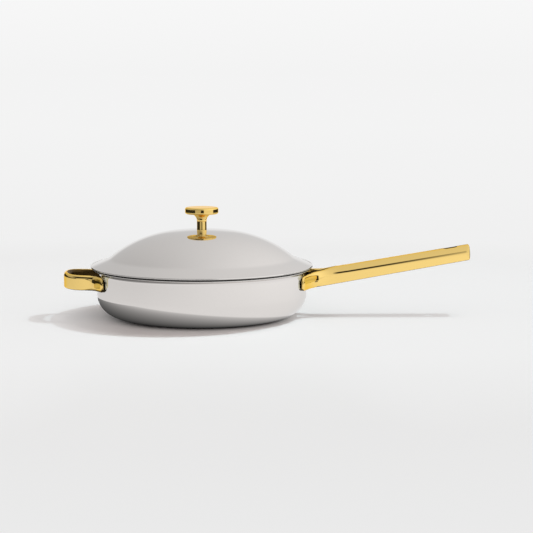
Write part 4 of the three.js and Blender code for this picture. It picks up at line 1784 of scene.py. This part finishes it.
FLAG_RADIUS = 0.82
CARD_RADIUS = 0.215
CARD_HEIGHT = 0.0004
LIT_LEVEL = 0.858
LIT_SLOPE = 0.215

FRONT_FLAG = Flag(
    name="flag_front",
    start=-85,
    end=18,
    near=2.6,
    far=2.6,
    bottom=0.45,
    top=2.8,
    level=0.02,
    soft_start=50,
    soft_end=12,
    soft_height=0.65,
)
LOW_FLAGS = [
    Flag(name, start, end, near=FLAG_RADIUS, far=FLAG_RADIUS, bottom=0.0, top=top, level=level)
    for name, start, end, top, level in (
        ("flag_left", -150, -46, 0.22, 0.03),
        ("flag_front_left", -46, -7, 0.17, 0.5),
        ("flag_post", -7, 14, 0.17, 0.03),
        ("flag_right", 84, 152, 0.22, 0.03),
    )
]
FLOOR_CARD = Flag(
    name="card",
    start=-180,
    end=180,
    near=CARD_RADIUS,
    far=FLAG_RADIUS,
    bottom=CARD_HEIGHT,
    top=CARD_HEIGHT,
    level=LIT_LEVEL,
    slope=LIT_SLOPE,
)
FLOOR_SHADE = FloorShade(
    name="shade",
    start=-180,
    end=180,
    near=0.1,
    far=CARD_RADIUS,
    bottom=CARD_HEIGHT,
    top=CARD_HEIGHT,
    level=LIT_LEVEL,
    slope=LIT_SLOPE,
    soft_start=50,
    surround=LIT_LEVEL,
)


@dataclass(frozen=True)
class Lamp:
    """A round lamp of even strength at any distance, which polished metal doesn't show."""

    name: str
    place: tuple[float, float, float]
    size: float
    power: float
    tint: tuple[float, float, float]

    def build(self) -> None:
        """Hangs the lamp and points it at the pan."""
        data = bpy.data.lights.new(self.name, "AREA")
        data.shape = "DISK"
        data.size = self.size
        data.color = self.tint
        data.energy = self.power
        data.use_nodes = True
        tree = data.node_tree
        falloff = tree.nodes.new("ShaderNodeLightFalloff")
        falloff.inputs["Strength"].default_value = 1.0
        tree.links.new(falloff.outputs["Constant"], tree.nodes["Emission"].inputs["Strength"])
        thing = bpy.data.objects.new(self.name, data)
        thing.location = self.place
        thing.rotation_euler = (-Vector(self.place)).to_track_quat("-Z", "Y").to_euler()
        thing.visible_glossy = False
        thing.visible_camera = False
        bpy.context.scene.collection.objects.link(thing)


LAMPS = (
    Lamp("key", place=(0.802, 0.254, 1.292), size=0.03, power=3.73, tint=(0.76, 0.945, 1.0)),
    Lamp("softbox", place=(0.76, 0.24, 1.45), size=0.8, power=3.2, tint=(1.0, 0.985, 0.97)),
)


@dataclass
class Studio:
    """Pale floor, soft light and the camera."""

    camera_place: tuple[float, float, float] = (-0.0376, -1.9911, 0.3131)
    camera_pitch: float = 82.83
    camera_turn: float = -3.43
    lens: float = 107.1
    sensor: float = 36.0
    sight: float = 200.0
    floor_half: float = 60.0
    floor_level: float = -0.00005
    floor_ends: tuple[float, float] = (-1.2, 6.0)
    paper_slope: float = -0.1
    paper_fade: tuple[float, float] = (0.38, 1.0)
    # To the sides the floor glows in part at its level: painted light that lightens the pan's shadows there
    side_fade: tuple[float, float] = (0.075, 0.2)
    side_most: float = 0.5
    horizon_fade: tuple[float, float] = (0.06, 0.22)
    horizon: float = 0.90
    horizon_rise: float = 0.7
    dome: float = 0.74
    dome_slope: float = 0.32
    ambient: float = 0.49
    ambient_tint: Colour = (1.0, 0.90, 0.87, 1)
    frontal: float = 0.65

    def camera(self) -> None:
        """Stands the camera at the photograph's angle."""
        data = bpy.data.cameras.new("camera")
        data.lens = self.lens
        data.sensor_width = self.sensor
        data.clip_end = self.sight
        thing = bpy.data.objects.new("camera", data)
        thing.location = self.camera_place
        thing.rotation_euler = (math.radians(self.camera_pitch), 0, math.radians(self.camera_turn))
        bpy.context.scene.collection.objects.link(thing)
        bpy.context.scene.camera = thing

    def floor(self) -> None:
        """Lays the floor, which fades into the backdrop far away."""
        bm = bmesh.new()
        bmesh.ops.create_grid(bm, x_segments=1, y_segments=1, size=self.floor_half)
        bmesh.ops.translate(bm, vec=(0, 0, self.floor_level), verts=bm.verts)
        thing = link_object("studio_floor", bm)
        thing.data.materials.append(self.floor_material())

    def floor_material(self) -> bpy.types.Material:
        """Pale matt paper near the pan; far off, the level of the backdrop; to the sides, part glow,
        painting light into the shadows.

        Returns:
            The material.
        """
        made = bpy.data.materials.new("studio_floor")
        made.use_nodes = True
        tree = made.node_tree
        tree.nodes.clear()
        out = tree.nodes.new("ShaderNodeOutputMaterial")
        axes = axes_of(tree)
        level = self.floor_level_node(tree, axes)
        paper = tree.nodes.new("ShaderNodeBsdfDiffuse")
        evened = tree.nodes.new("ShaderNodeVectorMath")
        evened.operation = "SCALE"
        across = maths(tree, "MULTIPLY_ADD", axes.outputs["X"], self.paper_slope, 1.0)
        tree.links.new(level.outputs["Color"], evened.inputs[0])
        tree.links.new(across, evened.inputs["Scale"])
        tree.links.new(evened.outputs["Vector"], paper.inputs["Color"])
        shown = tree.nodes.new("ShaderNodeEmission")
        tree.links.new(level.outputs["Color"], shown.inputs["Color"])
        away = eased_range(tree, radius_of(tree, axes), self.paper_fade)
        aside = maths(tree, "ABSOLUTE", axes.outputs["X"])
        # Painted light: the glow to the sides lightens the shadows on the floor there
        share = maths(tree, "MAXIMUM", away, eased_range(tree, aside, self.side_fade, self.side_most))
        mix = tree.nodes.new("ShaderNodeMixShader")
        tree.links.new(maths(tree, "MULTIPLY", share, seen_rays(tree)), mix.inputs["Fac"])
        tree.links.new(paper.outputs["BSDF"], mix.inputs[1])
        tree.links.new(shown.outputs["Emission"], mix.inputs[2])
        tree.links.new(mix.outputs["Shader"], out.inputs["Surface"])
        return made

    def floor_level_node(self, tree: Tree, axes: bpy.types.Node) -> bpy.types.Node:
        """Adds a colour ramp with the floor's level from the front to the far end.

        Args:
            tree: where the nodes go.
            axes: node with the place along each axis.

        Returns:
            The ramp's node.
        """
        depth = tree.nodes.new("ShaderNodeMapRange")
        depth.inputs["From Min"].default_value, depth.inputs["From Max"].default_value = self.floor_ends
        tree.links.new(axes.outputs["Y"], depth.inputs["Value"])
        level = tree.nodes.new("ShaderNodeValToRGB")
        tree.links.new(depth.outputs["Result"], level.inputs["Fac"])
        marks = level.color_ramp.elements
        (_, first), *between, (_, last) = FLOOR_LEVELS
        marks[0].color = (first, first, first, 1)
        marks[1].color = (last, last, last, 1)
        for position, grey in between:
            marks.new(position).color = (grey, grey, grey, 1)
        return level

    def world(self) -> None:
        """Lights the room: a pale dome with a paler horizon, and warmer, frontal light on matt things."""
        world = bpy.data.worlds.new("studio")
        bpy.context.scene.world = world
        world.use_nodes = True
        tree = world.node_tree
        axes = axes_of(tree, "Generated")
        horizon = maths(tree, "MULTIPLY_ADD", axes.outputs["Z"], self.horizon_rise, self.horizon)
        dome_level = maths(tree, "MULTIPLY_ADD", axes.outputs["X"], self.dome_slope, self.dome)
        height = eased_range(tree, axes.outputs["Z"], self.horizon_fade)
        seen_level = blended(tree, height, horizon, dome_level)
        matt = tree.nodes["Background"]
        matt.inputs["Color"].default_value = self.ambient_tint
        frontal = maths(tree, "MULTIPLY_ADD", axes.outputs["Y"], -self.ambient * self.frontal, self.ambient)
        tree.links.new(frontal, matt.inputs["Strength"])
        backdrop = tree.nodes.new("ShaderNodeBackground")
        backdrop.inputs["Color"].default_value = (1, 1, 1, 1)
        tree.links.new(seen_level, backdrop.inputs["Strength"])
        mix = tree.nodes.new("ShaderNodeMixShader")
        tree.links.new(seen_rays(tree), mix.inputs["Fac"])
        tree.links.new(matt.outputs["Background"], mix.inputs[1])
        tree.links.new(backdrop.outputs["Background"], mix.inputs[2])
        tree.links.new(mix.outputs["Shader"], tree.nodes["World Output"].inputs["Surface"])

    def build(self) -> None:
        """Sets the stage."""
        bpy.context.scene.view_settings.view_transform = "Standard"
        self.camera()
        self.floor()
        self.world()
        for thing in (*LAMPS, FRONT_FLAG, *LOW_FLAGS, FLOOR_CARD, FLOOR_SHADE):
            thing.build()


def main() -> None:
    """Builds every part of the pan and its lid, and the studio round them."""
    Studio().build()
    pan = Pan()
    foot = Foot(pan)
    lid = Lid(pan)
    pan.build()
    LongHandle(foot).build()
    HelperHandle(foot).build()
    Rivets(foot).build()
    lid.build()
    Knob(lid).build()


if __name__ == "__main__":
    main()
